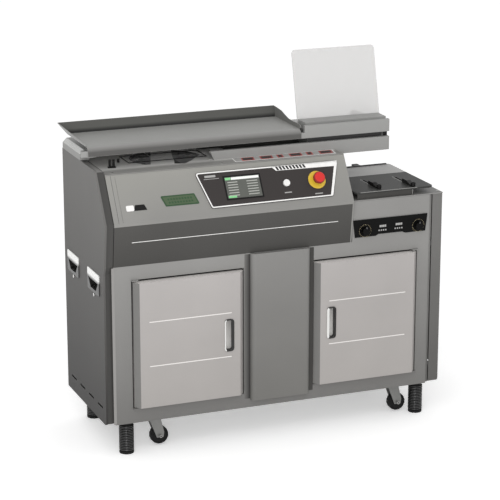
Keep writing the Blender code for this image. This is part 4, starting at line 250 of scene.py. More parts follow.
# %% finishes on the CAD nodes
CORNERS = ["left_front", "left_rear", "right_front", "right_rear"]
FEET = [corner + "_foot" for corner in CORNERS]
FINISHES = {
    frame_paint: ["front_frame", "station_top"],
    side_paint_in_shade: ["left_side_panel", "rear_panel"],
    right_paint_in_shade: ["right_side_panel"],
    door_paint: ["left_door", "right_door"],
    fascia_paint: ["upper_fascia"],
    deck_paint: ["deck_plate"],
    dark_paint: ["lower_fascia"],
    centre_paint: ["centre_panel"],
    beam_paint: ["lower_beam", "upper_beam", "rear_beam", "end_block", "clamp_strip", "tray_cover"],
    nip_paint: ["rear_nip_plate"],
    trim_plastic: ["edge_trim"],
    panel_plastic: ["control_panel"],
    zinc_steel: ["base_frame", "inner_frame", "cutter_motor", "glue_tank", "clamp_carriage"],
    handle_plate_painted_reflection: [corner + "_handle" for corner in CORNERS],
    bright_plate: ["left_door_handle", "right_door_handle", "first_glue_roller",
                   "second_glue_roller", "moving_jaw"],
    tool_steel: ["milling_cutter"],
    black_plastic_and_painted_shade: ["left_guide", "right_guide", "touch_screen", "power_inlet"],
    knob_plastic: ["left_dial", "right_dial", "dial_plate"],
    table_enamel: ["nip_table"],
    signal_yellow: ["estop_base"],
    signal_red: ["estop_button"],
    white_plastic: ["push_button"],
    tyre_rubber: FEET + [corner + "_castor_wheel" for corner in CORNERS],
    castor_zinc: [corner + "_castor_fork" for corner in CORNERS],
    frosted: ["support_plate"],
    clear: ["cutter_guard"],
}
for finish, names in FINISHES.items():
    for name in names:
        nodes[name].data.materials.clear()
        nodes[name].data.materials.append(finish)
undressed = sorted(set(nodes) - {name for names in FINISHES.values() for name in names})
print("nodes without a finish:", undressed)

# %% [markdown]
# ### Second finishes on one node
# Some sheets show two tones on one node. Cutting them apart would change the model, so faces that
# pass a test on their place and direction get a second material slot instead. The first is the
# dished tray: its floor is pale, and its walls turn away from the room's light, the far one most, so
# they get painted shade; its front skirt gets a painted highlight along its lip over painted shade.

# %% repaint faces; the tray


def repaint(name, finish, chosen):
    """Give the faces of a CAD node that pass a test another finish."""
    node = nodes[name]
    node.data.materials.append(finish)
    count = 0
    for face in node.data.polygons:
        place = node.matrix_world @ face.center - CORNER
        direction = node.matrix_world.to_3x3() @ face.normal
        if chosen(place, direction):
            face.material_index = len(node.data.materials) - 1
            count += 1
    print(name, "has", count, "faces in", finish.name)


# the same powder coat as the beams, as the tray's floor, walls, end and front skirt show it: painted
# shade on the walls, darkest at the far wall's foot, on the left side and on the right end, and a
# painted highlight over painted shade on the skirt
WALL_FOOT_SHADE = (0.975, 0.984)
SKIRT_SPAN = (0.955, 0.970)
tray_paint = surface("powder_coat_tray_floor", "8f8f8c", rough=(0.36, 0.46), specular=0.25)
tray_wall_painted_shade = surface("powder_coat_tray_wall_painted_shade", "2b2b2a", "5a5a57", WALL_FOOT_SHADE, rough=(0.40, 0.50),
                    specular=0.15)
tray_side_painted_shade = surface("powder_coat_tray_side_painted_shade", "6f6f6c", rough=(0.40, 0.50), specular=0.2)
tray_end_painted_shade = surface("powder_coat_tray_end_painted_shade", "6d6d6a", rough=(0.36, 0.46), specular=0.15)
tray_skirt_highlight_and_shade = surface("powder_coat_tray_skirt_highlight_and_shade", "585755", "939290", SKIRT_SPAN, rough=(0.30, 0.40),
                     specular=0.3)
# direction tests: a face that lies flat, one that leans clearly, one that leans a little
FLAT, LEANS, TIPS = 0.9, 0.3, 0.1
TRAY_LEFT, TRAY_RIGHT = 0.01, 0.69
TRAY_FRONT, TRAY_SKIRT, TRAY_WALL = 0.150, 0.152, 0.345
TRAY_LOW = 0.96
repaint("tray_cover", tray_paint, lambda p, way: way.z > FLAT and p.y > TRAY_FRONT and p.z > TRAY_LOW)
repaint("tray_cover", tray_wall_painted_shade, lambda p, way: way.y < -LEANS and way.z > TIPS and p.y > TRAY_WALL)
repaint("tray_cover", tray_side_painted_shade, lambda p, way: way.x > LEANS and way.z > TIPS and p.x < TRAY_LEFT)
repaint("tray_cover", tray_end_painted_shade, lambda p, way: way.x < -LEANS and way.z > TIPS and p.x > TRAY_RIGHT)
repaint("tray_cover", tray_skirt_highlight_and_shade, lambda p, way: way.y < -LEANS and p.y < TRAY_SKIRT)

# %% [markdown]
# A door is a shell with two pressed lines. Each line's upper slope and front get a painted highlight,
# the door's left bevel gets painted shade and its top one a painted highlight. The pull is a plated cup
# let into the door: a satin back, a painted highlight on one wall, and painted shade at its rim and ends.

# %% doors and pulls
# painted highlight on edges that face the light, and painted shade and highlight on the doors' bevels
painted_highlight = surface("powder_coat_painted_highlight", "e8e5e2", rough=(0.3, 0.4))
door_shade = surface("powder_coat_door_shade", "7c7b79", rough=(0.4, 0.5), specular=0.2)
door_top_highlight = surface("powder_coat_door_top_highlight", "e4e0dd", rough=(0.4, 0.5))
# satin nickel of the pull's back: plated but not polished, a little darker towards its foot
PULL_SPAN = (0.33, 0.42)
pull_plate = surface("satin_pull_plate", "d4d2cf", "b4b2af", PULL_SPAN, rough=(0.3, 0.4), metallic=0.1)
# dark steel with a weak metal sheen: painted shade on the pulls' rims and ends, on the jaw plate
# and beside the cutter strap; oil-blackened steel on the nip plate's stop strip
black_steel_and_painted_shade = surface("blackened_steel_and_painted_shade", "2b2a2a", rough=(0.35, 0.5), metallic=0.3, grain=900.0)
FACES = 0.5
RAISED = 0.0008
BEVEL_DEPTH = 0.004
DOOR_TOP = 0.55
SKIN = 0.0002
RIM, CUP = 0.0065, 0.01
for hand in ("left", "right"):
    door = hand + "_door"
    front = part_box(door)[0].y - CORNER.y
    repaint(door, painted_highlight,
            lambda p, way: p.y < front + RAISED and (way.z > FACES or way.y < -FACES))
    repaint(door, door_shade, lambda p, way: way.x < -LEANS and p.y < BEVEL_DEPTH)
    repaint(door, door_top_highlight, lambda p, way: way.z > LEANS and p.z > DOOR_TOP)
for hand in ("left", "right"):
    pull = hand + "_door_handle"
    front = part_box(pull)[0].y - CORNER.y
    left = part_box(pull)[0].x - CORNER.x
    repaint(pull, pull_plate, lambda p, way: p.y > front + SKIN and way.y < -FACES)
    repaint(pull, painted_highlight, lambda p, way: p.y > front + SKIN and way.x > LEANS)
    repaint(pull, black_steel_and_painted_shade, lambda p, way: way.x < -LEANS and p.x > left + CUP)
    repaint(pull, black_steel_and_painted_shade, lambda p, way: abs(way.z) > FACES)
    repaint(pull, black_steel_and_painted_shade, lambda p, way: p.y < front + SKIN and p.x > left + RIM)

# %% [markdown]
# The rest are single faces: painted shade on the jaw plate seen in the slot between the beams, a
# painted highlight on the trim's upper run, painted shade on the skirts under the switches and on the
# station's top, painted light on the table's rear end under the beams, painted shade on the rear
# beam's face at the slot's right end, and a painted highlight on the chamfer of the end block.

# %% other second finishes
# painted highlight on the trim's upward faces, and painted shade on the station's top
trim_top_highlight = surface("powder_coat_trim_top_highlight", "908f8d", specular=0.2)
station_shade = surface("powder_coat_station_top", "7b7a78", specular=0.2)
# painted shade on the switches' plastic where it turns away from the light
ring_side = surface("yellow_plastic_in_shade", "8a7420", rough=(0.3, 0.4))
red_side = surface("red_plastic_in_shade", "8e1f1c", rough=(0.3, 0.4))
# painted highlight on the end block's chamfer: paler and brighter than the plated parts
chamfer_highlight = surface("end_block_chamfer_highlight", "c0c0be", rough=(0.25, 0.35), metallic=0.4)
OUT = FASCIA.to_3x3() @ Vector((0, 0, 1))
RING_TURN, BUTTON_TURN = 0.6, 0.8
JAW_PLATE = 0.156
TRIM_TOP = 0.9
TABLE_REAR = 0.36
END_PLATE = 1.0
CHAMFER = (0.2, 0.95)
# painted shade on the jaw plate, which shows through the dark slot between the beams
repaint("clamp_carriage", black_steel_and_painted_shade, lambda p, way: p.y < JAW_PLATE and way.y < -FACES)
repaint("edge_trim", trim_top_highlight, lambda p, way: way.z > FACES and p.z > TRIM_TOP)
repaint("estop_base", ring_side, lambda p, way: way.dot(OUT) < RING_TURN)
repaint("estop_button", red_side, lambda p, way: way.dot(OUT) < BUTTON_TURN)
repaint("station_top", station_shade, lambda p, way: way.z > FLAT)
repaint("nip_table", nip_paint, lambda p, way: p.y > TABLE_REAR)
# painted shade on the rear beam's face, where the dark slot between the beams runs out at the right end
repaint("rear_beam", black_plastic_and_painted_shade, lambda p, way: p.x > END_PLATE and way.y < -FACES)
repaint("end_block", chamfer_highlight,
        lambda p, way: CHAMFER[0] < way.z < CHAMFER[1] and abs(way.x) > CHAMFER[0])

# %% [markdown]
# ## Printed and applied details
# Panels, borders, stripes and displays are thin plates. Each is drawn as an outline in its sheet's
# own plane, given a fraction of a millimetre of thickness and then carried to its place by a matrix,
# so it sits on the sheet that holds it. A print could also be a pattern in the sheet's material, but
# its edge would blur with the grain, and a plate can be named and moved.

# %% outlines


def rectangle(low_u, high_u, low_v, high_v):
    """Corners of a rectangle."""
    return [(low_u, low_v), (high_u, low_v), (high_u, high_v), (low_u, high_v)]


def shrink(points, distance):
    """An outline drawn anticlockwise, moved inwards."""
    made = []
    for i, point in enumerate(points):
        before = (Vector(point) - Vector(points[i - 1])).normalized()
        after = (Vector(points[(i + 1) % len(points)]) - Vector(point)).normalized()
        one = Vector((-before.y, before.x))
        two = Vector((-after.y, after.x))
        middle = (one + two).normalized()
        made.append(tuple(Vector(point) + middle * (distance / middle.dot(one))))
    return made


def soften(points, radius, steps=4):
    """Round every corner of an outline drawn anticlockwise."""
    made = []
    for i, point in enumerate(points):
        corner = Vector(point)
        before = (Vector(points[i - 1]) - corner).normalized()
        after = (Vector(points[(i + 1) % len(points)]) - corner).normalized()
        half = before.angle(after) / 2
        centre = corner + (before + after).normalized() * (radius / math.sin(half))
        start = corner + before * (radius / math.tan(half)) - centre
        sweep = math.pi - 2 * half
        for step in range(steps + 1):
            made.append(tuple(centre + Matrix.Rotation(sweep * step / steps, 2) @ start))
    return made


print("a softened square has", len(soften(rectangle(0, 1, 0, 1), 0.2)), "corners")

# %% [markdown]
# A slab is an outline with two heights: a floor, a lid and a wall, or with a second outline inside
# it a frame. Its faces are made one by one, so that the shell is closed and every corner stands where
# the outline has it.

# %% slabs


def slab(outline, low, high, inner=None):
    """Thin plate between two heights; with an inner outline it is a frame."""
    shell = bmesh.new()
    rings = [outline] if inner is None else [outline, inner]
    made = [[[shell.verts.new((u, v, w)) for u, v in ring] for w in (low, high)] for ring in rings]
    count = len(outline)
    for bottom, top in made:
        for i in range(count):
            j = (i + 1) % count
            shell.faces.new((bottom[i], bottom[j], top[j], top[i]))
    for level in (0, 1):
        if inner is None:
            shell.faces.new(made[0][level])
            continue
        for i in range(count):
            j = (i + 1) % count
            shell.faces.new((made[0][level][i], made[0][level][j], made[1][level][j], made[1][level][i]))
    bmesh.ops.recalc_face_normals(shell, faces=shell.faces)
    mesh = bpy.data.meshes.new("slab")
    shell.to_mesh(mesh)
    shell.free()
    return mesh


trial = slab(rectangle(0, 1, 0, 1), 0, 1, shrink(rectangle(0, 1, 0, 1), 0.1))
print("a frame has", len(trial.polygons), "faces")
bpy.data.meshes.remove(trial)

# %% [markdown]
# Several slabs become one mesh, and one mesh becomes one piece, which rides on a body of the machine
# and moves with it. The matrix goes into the mesh and the object stays at the origin, unturned, so
# that the grain of its finish keeps its real size and place.

# %% pieces


def joined(name, parts):
    """One mesh from several; a part is a mesh and the matrix that carries it."""
    whole = bmesh.new()
    for mesh, matrix in parts:
        mesh.transform(matrix)
        whole.from_mesh(mesh)
        bpy.data.meshes.remove(mesh)
    made = bpy.data.meshes.new(name)
    whole.to_mesh(made)
    whole.free()
    return made


def carry(name, mesh, finish, body):
    """Make the object of a finished mesh and let it ride on a body."""
    if finish:
        mesh.materials.clear()
        mesh.materials.append(finish)
    made = bpy.data.objects.new(name, mesh)
    bpy.context.scene.collection.objects.link(made)
    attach(made, body)


def show(name, slabs, finish, body="cabinet", matrix=Matrix.Identity(4)):
    """One piece made of several slabs, carried by a matrix."""
    carry(name, joined(name, [(mesh, matrix) for mesh in slabs]), finish, body)


square = rectangle(0, 1, 0, 1)
trial = joined("trial", [(slab(square, 0, 1), Matrix.Translation((i, 0, 0))) for i in (0, 2)])
print("two slabs in one piece have", len(trial.polygons), "faces")
bpy.data.meshes.remove(trial)

# %% [markdown]
# Ink and display colours are flat in print, but ink still lies unevenly and a display has a faint
# dot pattern, so both get their own small noise. A lit field also gives a little light of its own.

# %% inks and display colours


def ink(name, code, glow=0.0):
    """Screen-printed ink or a lit display field."""
    made = surface(name, code, rough=(0.35, 0.5), cloud=60.0, cloud_amount=0.04, grain=2500.0,
                   depth=0.000005)
    shader = made.node_tree.nodes["Principled BSDF"]
    shader.inputs["Emission Color"].default_value = linear(code)
    shader.inputs["Emission Strength"].default_value = glow
    return made


# screen-print inks: dense and satin, so that a line stays crisp on the paint; the gold ink glows
# faintly, as painted light
white_ink = ink("white_screen_print", "f2f1ef")
black_ink = ink("black_screen_print", "171616")
red_ink = ink("red_screen_print", "b3403c")
grey_ink = ink("grey_screen_print", "a9a8a6")
gold_ink = ink("gold_screen_print_painted_glow", "b3a684", 0.05)
# liquid-crystal fields behind glass: dim, with a slight glow
field_ink = ink("display_pale_field", "aeb0aa", 0.06)
display_dark = ink("display_dark_field", "565853", 0.05)
display_light = ink("display_light_field", "e6e8e4", 0.15)
display_green = ink("display_green_field", "7fc487", 0.15)
# the counter's green filter, and its darker bezel
segment_green = ink("segment_display_green", "47593f", 0.02)
segment_edge = ink("segment_display_bezel", "2a4a2c")
print("inks:", white_ink.name, black_ink.name, red_ink.name)

# %% [markdown]
# ### Repeats by Geometry Nodes
# Stripes, display rows, scale marks and screws repeat, so each comes from a small Geometry Nodes
# tree with named inputs. A loop over copies would do as well, but in a tree the count and the step
# stay sockets that can be tried out. Every tree starts and ends alike, so two helpers do that.

# %% start and end of a tree
FLOAT, INTEGER = "NodeSocketFloat", "NodeSocketInt"
VECTOR, MATERIAL = "NodeSocketVector", "NodeSocketMaterial"


def new_tree(name, sockets):
    """Empty tree with named inputs; returns the tree, its inputs and their identifiers."""
    tree = bpy.data.node_groups.new(name, "GeometryNodeTree")
    tree.interface.new_socket("Geometry", in_out="OUTPUT", socket_type="NodeSocketGeometry")
    tree.interface.new_socket("Geometry", in_out="INPUT", socket_type="NodeSocketGeometry")
    known = {}
    for label, kind in sockets.items():
        known[label] = tree.interface.new_socket(label, in_out="INPUT", socket_type=kind).identifier
    return tree, put(tree, "NodeGroupInput").outputs, known


def close_tree(tree, geometry, finish_socket):
    """Realise the instances, set the material and join the output."""
    real = put(tree, "GeometryNodeRealizeInstances", {"Geometry": geometry})
    done = put(tree, "GeometryNodeSetMaterial", {"Geometry": real.outputs["Geometry"],
                                                 "Material": finish_socket})
    put(tree, "NodeGroupOutput", {"Geometry": done.outputs["Geometry"]})


print("socket kinds:", FLOAT, INTEGER, VECTOR, MATERIAL)

# %% [markdown]
# The first tree puts blocks on a straight line. It leans each block by moving its points sideways
# with their height in the row, since printed stripes slant without turning.

# %% a tree for rows of blocks
row_tree, row_in, row_keys = new_tree("block_row", {
    "Count": INTEGER, "Step": VECTOR, "Size": VECTOR, "Lean": FLOAT, "Material": MATERIAL})
line = put(row_tree, "GeometryNodeMeshLine", {"Count": row_in["Count"], "Offset": row_in["Step"]},
           mode="OFFSET")
block = put(row_tree, "GeometryNodeMeshCube", {"Size": row_in["Size"]})
blocks = put(row_tree, "GeometryNodeInstanceOnPoints", {"Points": line.outputs["Mesh"],
                                                        "Instance": block.outputs["Mesh"]})
solid = put(row_tree, "GeometryNodeRealizeInstances", {"Geometry": blocks.outputs["Instances"]})
position = put(row_tree, "GeometryNodeInputPosition").outputs["Position"]
spot = put(row_tree, "ShaderNodeSeparateXYZ", {"Vector": position})
shift = put(row_tree, "ShaderNodeMath", {0: spot.outputs["Y"], 1: row_in["Lean"]}, operation="MULTIPLY")
offset = put(row_tree, "ShaderNodeCombineXYZ", {"X": shift.outputs["Value"]})
leaned = put(row_tree, "GeometryNodeSetPosition", {"Geometry": solid.outputs["Geometry"],
                                                   "Offset": offset.outputs["Vector"]})
close_tree(row_tree, leaned.outputs["Geometry"], row_in["Material"])
print("row tree inputs:", list(row_keys))

# %% [markdown]
# A tree runs on a scratch object. Its inputs are set by the sockets' identifiers, because two inputs
# may share a name, and the evaluated result is copied to a plain mesh. A row is written as its first
# block's centre, the block's size, and how often and how far it repeats.

# %% run a tree


def grown(tree, keys, values, points=None):
    """Run a tree on a scratch object and return its result as a plain mesh."""
    start = points or bpy.data.meshes.new("scratch")
    scratch = bpy.data.objects.new("scratch", start)
    bpy.context.scene.collection.objects.link(scratch)
    modifier = scratch.modifiers.new("grow", "NODES")
    modifier.node_group = tree
    for label, value in values.items():
        modifier[keys[label]] = value
    evaluated = scratch.evaluated_get(bpy.context.evaluated_depsgraph_get())
    made = bpy.data.meshes.new_from_object(evaluated)
    scratch.modifiers.remove(modifier)
    bpy.data.objects.remove(scratch)
    bpy.data.meshes.remove(start)
    return made


def row(u, v, w, size, count=1, step=(0, 0, 0), lean=0.0):
    """One row of blocks in a sheet's frame."""
    return Matrix.Translation((u, v, w)), {"Count": count, "Step": step, "Size": size, "Lean": lean}


def block_rows(name, rows, finish, matrix):
    """Several rows of blocks as one piece, carried by a matrix."""
    parts = []
    for start, values in rows:
        parts.append((grown(row_tree, row_keys, {**values, "Material": finish}), matrix @ start))
    carry(name, joined(name, parts), finish, "cabinet")


print("a row:", row(0, 0, 0, (0.01, 0.01, 0.01), 3, (0.02, 0, 0))[1])

# %% [markdown]
# ### The control panel
# A dark plate with a white border line carries the screen, a white push button and the emergency
# stop. Its upper right corner has a white tab crossed by slanting dark stripes, and short grey bars
# stand beside the screen and under the two switches.

# %% border, tab and stripes
PANEL_FACE = 0.0033
# real ink is a few hundredths of a millimetre thick; this is drawn thicker to stay above the plate
INK = 0.00025
PANEL = [(0.351, 0.022), (0.760, 0.024), (0.800, 0.141), (0.316, 0.141)]
outer = soften(shrink(PANEL, 0.0012), 0.007)
inner = soften(shrink(PANEL, 0.0050), 0.0040)
show("panel_border_line", [slab(outer, PANEL_FACE, PANEL_FACE + INK, inner)], white_ink, matrix=FASCIA)
tab = [(0.5850, 0.1245), (0.7830, 0.1225), (0.7945, 0.1400), (0.5700, 0.1400)]
band = [(0.7515, 0.0265), (0.7565, 0.0265), (0.7965, 0.1400), (0.7890, 0.1400)]
show("panel_corner_tab", [slab(tab, PANEL_FACE, PANEL_FACE + INK),
                          slab(band, PANEL_FACE, PANEL_FACE + INK * 0.9)], white_ink, matrix=FASCIA)
stripes = row(0.5900, 0.1318, PANEL_FACE + INK * 1.5, (0.0068, 0.0118, INK), 9, (0.0114, 0, 0), -0.45)
block_rows("panel_tab_stripes", [stripes], black_ink, FASCIA)
ON_PANEL = PANEL_FACE + INK / 2
bars = [row(u, v, ON_PANEL, (long, tall, INK))
        for u, v, long, tall in ((0.6110, 0.0500, 0.0240, 0.0034), (0.7130, 0.0370, 0.0260, 0.0034),
                                 (0.3640, 0.1255, 0.0360, 0.0070), (0.3670, 0.1170, 0.0500, 0.0016))]
block_rows("panel_caption_bars", bars, grey_ink, FASCIA)
print("control panel: 9 stripes,", len(bars), "bars")

# %% [markdown]
# ### The screen
# The touch screen lies in a shallow well. It shows a header bar, two columns of six fields and a key
# at the foot. Each field is a thin lit plate on the glass, so that its edges stay sharp.

# %% screen picture
GLASS = 0.0040
FILM = 0.0001
ON_GLASS, FIELD_TOP = GLASS + FILM, GLASS + 3 * FILM
show("screen_field", [slab(rectangle(0.4095, 0.5240, 0.0480, 0.1175), GLASS, ON_GLASS)], display_dark,
     matrix=FASCIA)
columns = [row(u, 0.1000, GLASS + 2 * FILM, (long, 0.0026, 2 * FILM), 6, (0, -0.0086, 0))
           for u, long in ((0.4330, 0.0330), (0.4980, 0.0360))]
block_rows("screen_fields", columns, field_ink, FASCIA)
header = slab(rectangle(0.4305, 0.5225, 0.1080, 0.1160), ON_GLASS, FIELD_TOP)
show("screen_header", [header], display_light, matrix=FASCIA)
screen_keys = [slab(rectangle(0.4105, 0.4290, 0.1080, 0.1160), ON_GLASS, FIELD_TOP),
               slab(rectangle(0.4120, 0.4390, 0.0495, 0.0570), ON_GLASS, FIELD_TOP)]
show("screen_keys", screen_keys, display_green, matrix=FASCIA)
print("screen:", len(columns), "columns")

# %% [markdown]
# ### Counter display, plates, seams and line
# Left of the control panel sits a slanted green counter display in a darker bezel, and further left
# a small pale plate beside a dark one. A folded seam runs up the fascia near its left edge, dark with
# a lit lip, and a white line crosses the dark sheet below.

# %% counter display
BEZEL_TOP = 0.0012
bezel = [(0.2055, 0.0435), (0.3150, 0.0430), (0.3030, 0.0775), (0.1925, 0.0775)]
show("counter_bezel", [slab(soften(bezel, 0.003), 0.0, BEZEL_TOP)], segment_edge, matrix=FASCIA)
show("counter_display", [slab(shrink(bezel, 0.0042), BEZEL_TOP, BEZEL_TOP + 3 * FILM)], segment_green,
     matrix=FASCIA)
digits = [row(u, v, BEZEL_TOP + 4 * FILM, (0.0058, 0.0060, 2 * FILM), 9, (0.0092, 0, 0), -0.2)
          for u, v in ((0.2165, 0.0650), (0.2190, 0.0545))]
block_rows("counter_segments", digits, segment_edge, FASCIA)
print("counter:", len(digits), "rows of 9 digits")

# %% [markdown]
# The two plates are stuck on, so they have a real thickness of a millimetre. The seam is the edge of
# a folded sheet, which shows from outside as a dark gap and a lit lip side by side; the line below
# is print.

# %% plates, seams and line
pale_plate = soften(rectangle(0.0780, 0.1030, 0.0395, 0.0575), 0.004)
dark_plate = [(0.1010, 0.0395), (0.1440, 0.0395), (0.1370, 0.0575), (0.1080, 0.0575)]
show("badge_plate", [slab(pale_plate, 0.0, 0.0010)], white_plastic, matrix=FASCIA)
show("badge_plate_dark", [slab(dark_plate, 0.0, 0.0009)], black_plastic_and_painted_shade, matrix=FASCIA)
SEAM_FOOT, SEAM_HEAD, SEAM = 0.004, 0.157, 0.0004
seams = [slab(rectangle(0.0470, 0.0480, SEAM_FOOT, SEAM_HEAD), 0.0, SEAM),
         slab(rectangle(0.0605, 0.0610, SEAM_FOOT, 0.152), 0.0, 0.0003)]
show("fascia_seam", seams, trim_plastic, matrix=FASCIA)
show("fascia_seam_light", [slab(rectangle(0.0480, 0.0495, SEAM_FOOT, SEAM_HEAD), 0.0, SEAM)],
     beam_paint, matrix=FASCIA)
LINE_DROP, LINE_HALF = 0.0627, 0.0009
white_line = rectangle(0.0885, 0.7755, -LINE_DROP - LINE_HALF, -LINE_DROP + LINE_HALF)
show("fascia_white_line", [slab(white_line, 0.0, 0.0003)], white_ink, matrix=APRON)
print("fascia details:", len(seams), "seams")

# %% [markdown]
# ### Dials
# Two dials turn in front of a black plate. A ring of fine gold-toned marks round each one comes from
# the second tree, which sets points on an arc and turns a block at each of them. Modelling one mark
# and copying it by hand would do, but here count, radius and size stay single numbers.

# %% a tree for marks on an arc
arc_tree, arc_in, arc_keys = new_tree("arc_marks", {
    "Count": INTEGER, "Radius": FLOAT, "Start": FLOAT, "Turn": FLOAT, "Size": VECTOR,
    "Material": MATERIAL})
index = put(arc_tree, "GeometryNodeInputIndex").outputs["Index"]
turned = put(arc_tree, "ShaderNodeMath", {0: index, 1: arc_in["Turn"], 2: arc_in["Start"]},
             operation="MULTIPLY_ADD").outputs["Value"]
sine = put(arc_tree, "ShaderNodeMath", {0: turned}, operation="SINE")
cosine = put(arc_tree, "ShaderNodeMath", {0: turned}, operation="COSINE")
unit = put(arc_tree, "ShaderNodeCombineXYZ", {"X": cosine.outputs["Value"], "Y": sine.outputs["Value"]})
rim = put(arc_tree, "ShaderNodeVectorMath", {0: unit.outputs["Vector"], "Scale": arc_in["Radius"]},
          operation="SCALE")
dots = put(arc_tree, "GeometryNodePoints", {"Count": arc_in["Count"], "Position": rim.outputs["Vector"]})
angle = put(arc_tree, "ShaderNodeCombineXYZ", {"Z": turned})
facing = put(arc_tree, "FunctionNodeEulerToRotation", {"Euler": angle.outputs["Vector"]})
mark = put(arc_tree, "GeometryNodeMeshCube", {"Size": arc_in["Size"]})
marks = put(arc_tree, "GeometryNodeInstanceOnPoints", {
    "Points": dots.outputs["Points"], "Instance": mark.outputs["Mesh"],
    "Rotation": facing.outputs["Rotation"]})
close_tree(arc_tree, marks.outputs["Instances"], arc_in["Material"])


def arc(count, radius, size, finish):
    """Blocks at even steps round a full circle."""
    return grown(arc_tree, arc_keys, {"Count": count, "Radius": radius, "Start": 0.0,
                                      "Turn": math.radians(360 / count), "Size": size,
                                      "Material": finish})


print("arc tree inputs:", list(arc_keys))

# %% [markdown]
# Between the dials stand two groups of four small squares with four taller bars above each. A short
# grey pointer line on each dial turns with it, so it rides on the dial's own body.

# %% marks, dots and pointers
DIALS = {"left_dial": 0.874, "right_dial": 1.062}
DIAL_HEIGHT = 0.655
DIAL_FACE = 0.0033
rings = [(arc(24, 0.0203, (0.0026, 0.0010, 0.0003), gold_ink),
          UPRIGHT @ Matrix.Translation((across, DIAL_HEIGHT, DIAL_FACE + 0.00012)))
         for across in DIALS.values()]
carry("dial_marks", joined("dial_marks", rings), gold_ink, "cabinet")
groups = [row(u, v, DIAL_FACE + FILM, (wide, tall, 3 * FILM), 4, (step, 0, 0))
          for u, v, wide, tall, step in ((0.9230, 0.6520, 0.0044, 0.0044, 0.0078),
                                         (0.9800, 0.6530, 0.0044, 0.0044, 0.0078),
                                         (0.9270, 0.6655, 0.0050, 0.0072, 0.0060),
                                         (0.9840, 0.6665, 0.0050, 0.0072, 0.0060))]
block_rows("dial_plate_dots", groups, grey_ink, UPRIGHT)
POINTER_HALF = 0.0005
for body, across in DIALS.items():
    face = CORNER.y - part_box(body)[0].y
    pointer = rectangle(across - POINTER_HALF, across + POINTER_HALF, 0.6640, 0.6700)
    show(body + "_pointer", [slab(pointer, face, face + 0.0003)], grey_ink, body, matrix=UPRIGHT)
print("pointers ride on the dials")

# %% [markdown]
# ### On the deck
# A label strip lies in front of the beam: a white border, a grey field and slanted red signs with
# dark middles. Further left the two posts of a black proximity switch stand on their bracket, with
# a shorter post behind, and the clear guard over the cutter stands in a thin black gasket.

# %% label strip, switches and gasket
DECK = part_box("deck_plate")[1].z
LEVEL = Matrix.Translation((CORNER.x, CORNER.y, DECK))
strip = [(0.4645, 0.0850), (0.8057, 0.0780), (0.8160, 0.1340), (0.4706, 0.1350)]
show("label_strip_border", [slab(strip, 0.0001, 0.0003)], white_ink, matrix=LEVEL)
show("label_strip", [slab(shrink(strip, 0.0030), 0.0003, 0.0005)], grey_ink, matrix=LEVEL)
SIGNS = [(0.515, 0.034), (0.578, 0.034), (0.625, 0.012), (0.678, 0.034), (0.726, 0.012), (0.782, 0.036)]
SIGN_ROW = 0.1085
red_signs = [row(x, SIGN_ROW, 0.0006, (width + 0.008, 0.0380, 0.0002), lean=0.2) for x, width in SIGNS]
dark_signs = [row(x, SIGN_ROW, 0.0008, (width, 0.0270, 0.0002), lean=0.2) for x, width in SIGNS]
block_rows("label_signs_red", red_signs, red_ink, LEVEL)
block_rows("label_signs_dark", dark_signs, black_ink, LEVEL)
switch = [slab(soften(rectangle(0.0710, 0.0780, 0.150, 0.157), 0.002), 0.0003, 0.027),
          slab(soften(rectangle(0.0835, 0.0905, 0.150, 0.157), 0.002), 0.0003, 0.026),
          slab(rectangle(0.0690, 0.0930, 0.148, 0.159), 0.0002, 0.004),
          slab(soften(rectangle(0.1180, 0.1250, 0.210, 0.217), 0.002), 0.0003, 0.012)]
show("deck_switch", switch, black_plastic_and_painted_shade, matrix=LEVEL)
low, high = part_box("cutter_guard")
GASKET = 0.0022
foot = rectangle(low.x, high.x, low.y - 0.0002, high.y)
show("guard_edging", [slab(foot, DECK + 0.0002, DECK + GASKET, shrink(foot, GASKET))], black_plastic_and_painted_shade)
print("deck at", round(DECK, 4), "guard top", round(high.z, 4))

# %% [markdown]
# The strap that crosses the cutter's opening is covered by a thin painted sheet with two dark sheets
# of painted shade at its edge, and a drip sheet bridges the step between the deck and the glue tank.
# A dark seam crosses the left edge's top. All four are flat sheets, so outlines with a real thickness are
# enough.

# %% sheets round the cutter
cover = [(0.1860, 0.1000), (0.3600, 0.1000), (0.4040, 0.1700), (0.4035, 0.2230), (0.3956, 0.2233),
         (0.3419, 0.1549), (0.3105, 0.1234), (0.2801, 0.1355), (0.2947, 0.1811), (0.3074, 0.2357),
         (0.3280, 0.3036), (0.3360, 0.3300), (0.2680, 0.3300), (0.2627, 0.3142), (0.2354, 0.2344),
         (0.2065, 0.1502), (0.1860, 0.1530)]
# just clear of the deck, and a fifth of a millimetre thick
SHEET_LOW, SHEET_TOP = 0.00002, 0.00022
show("cutter_strap_cover", [slab(cover, SHEET_LOW, SHEET_TOP)], deck_paint, matrix=LEVEL)
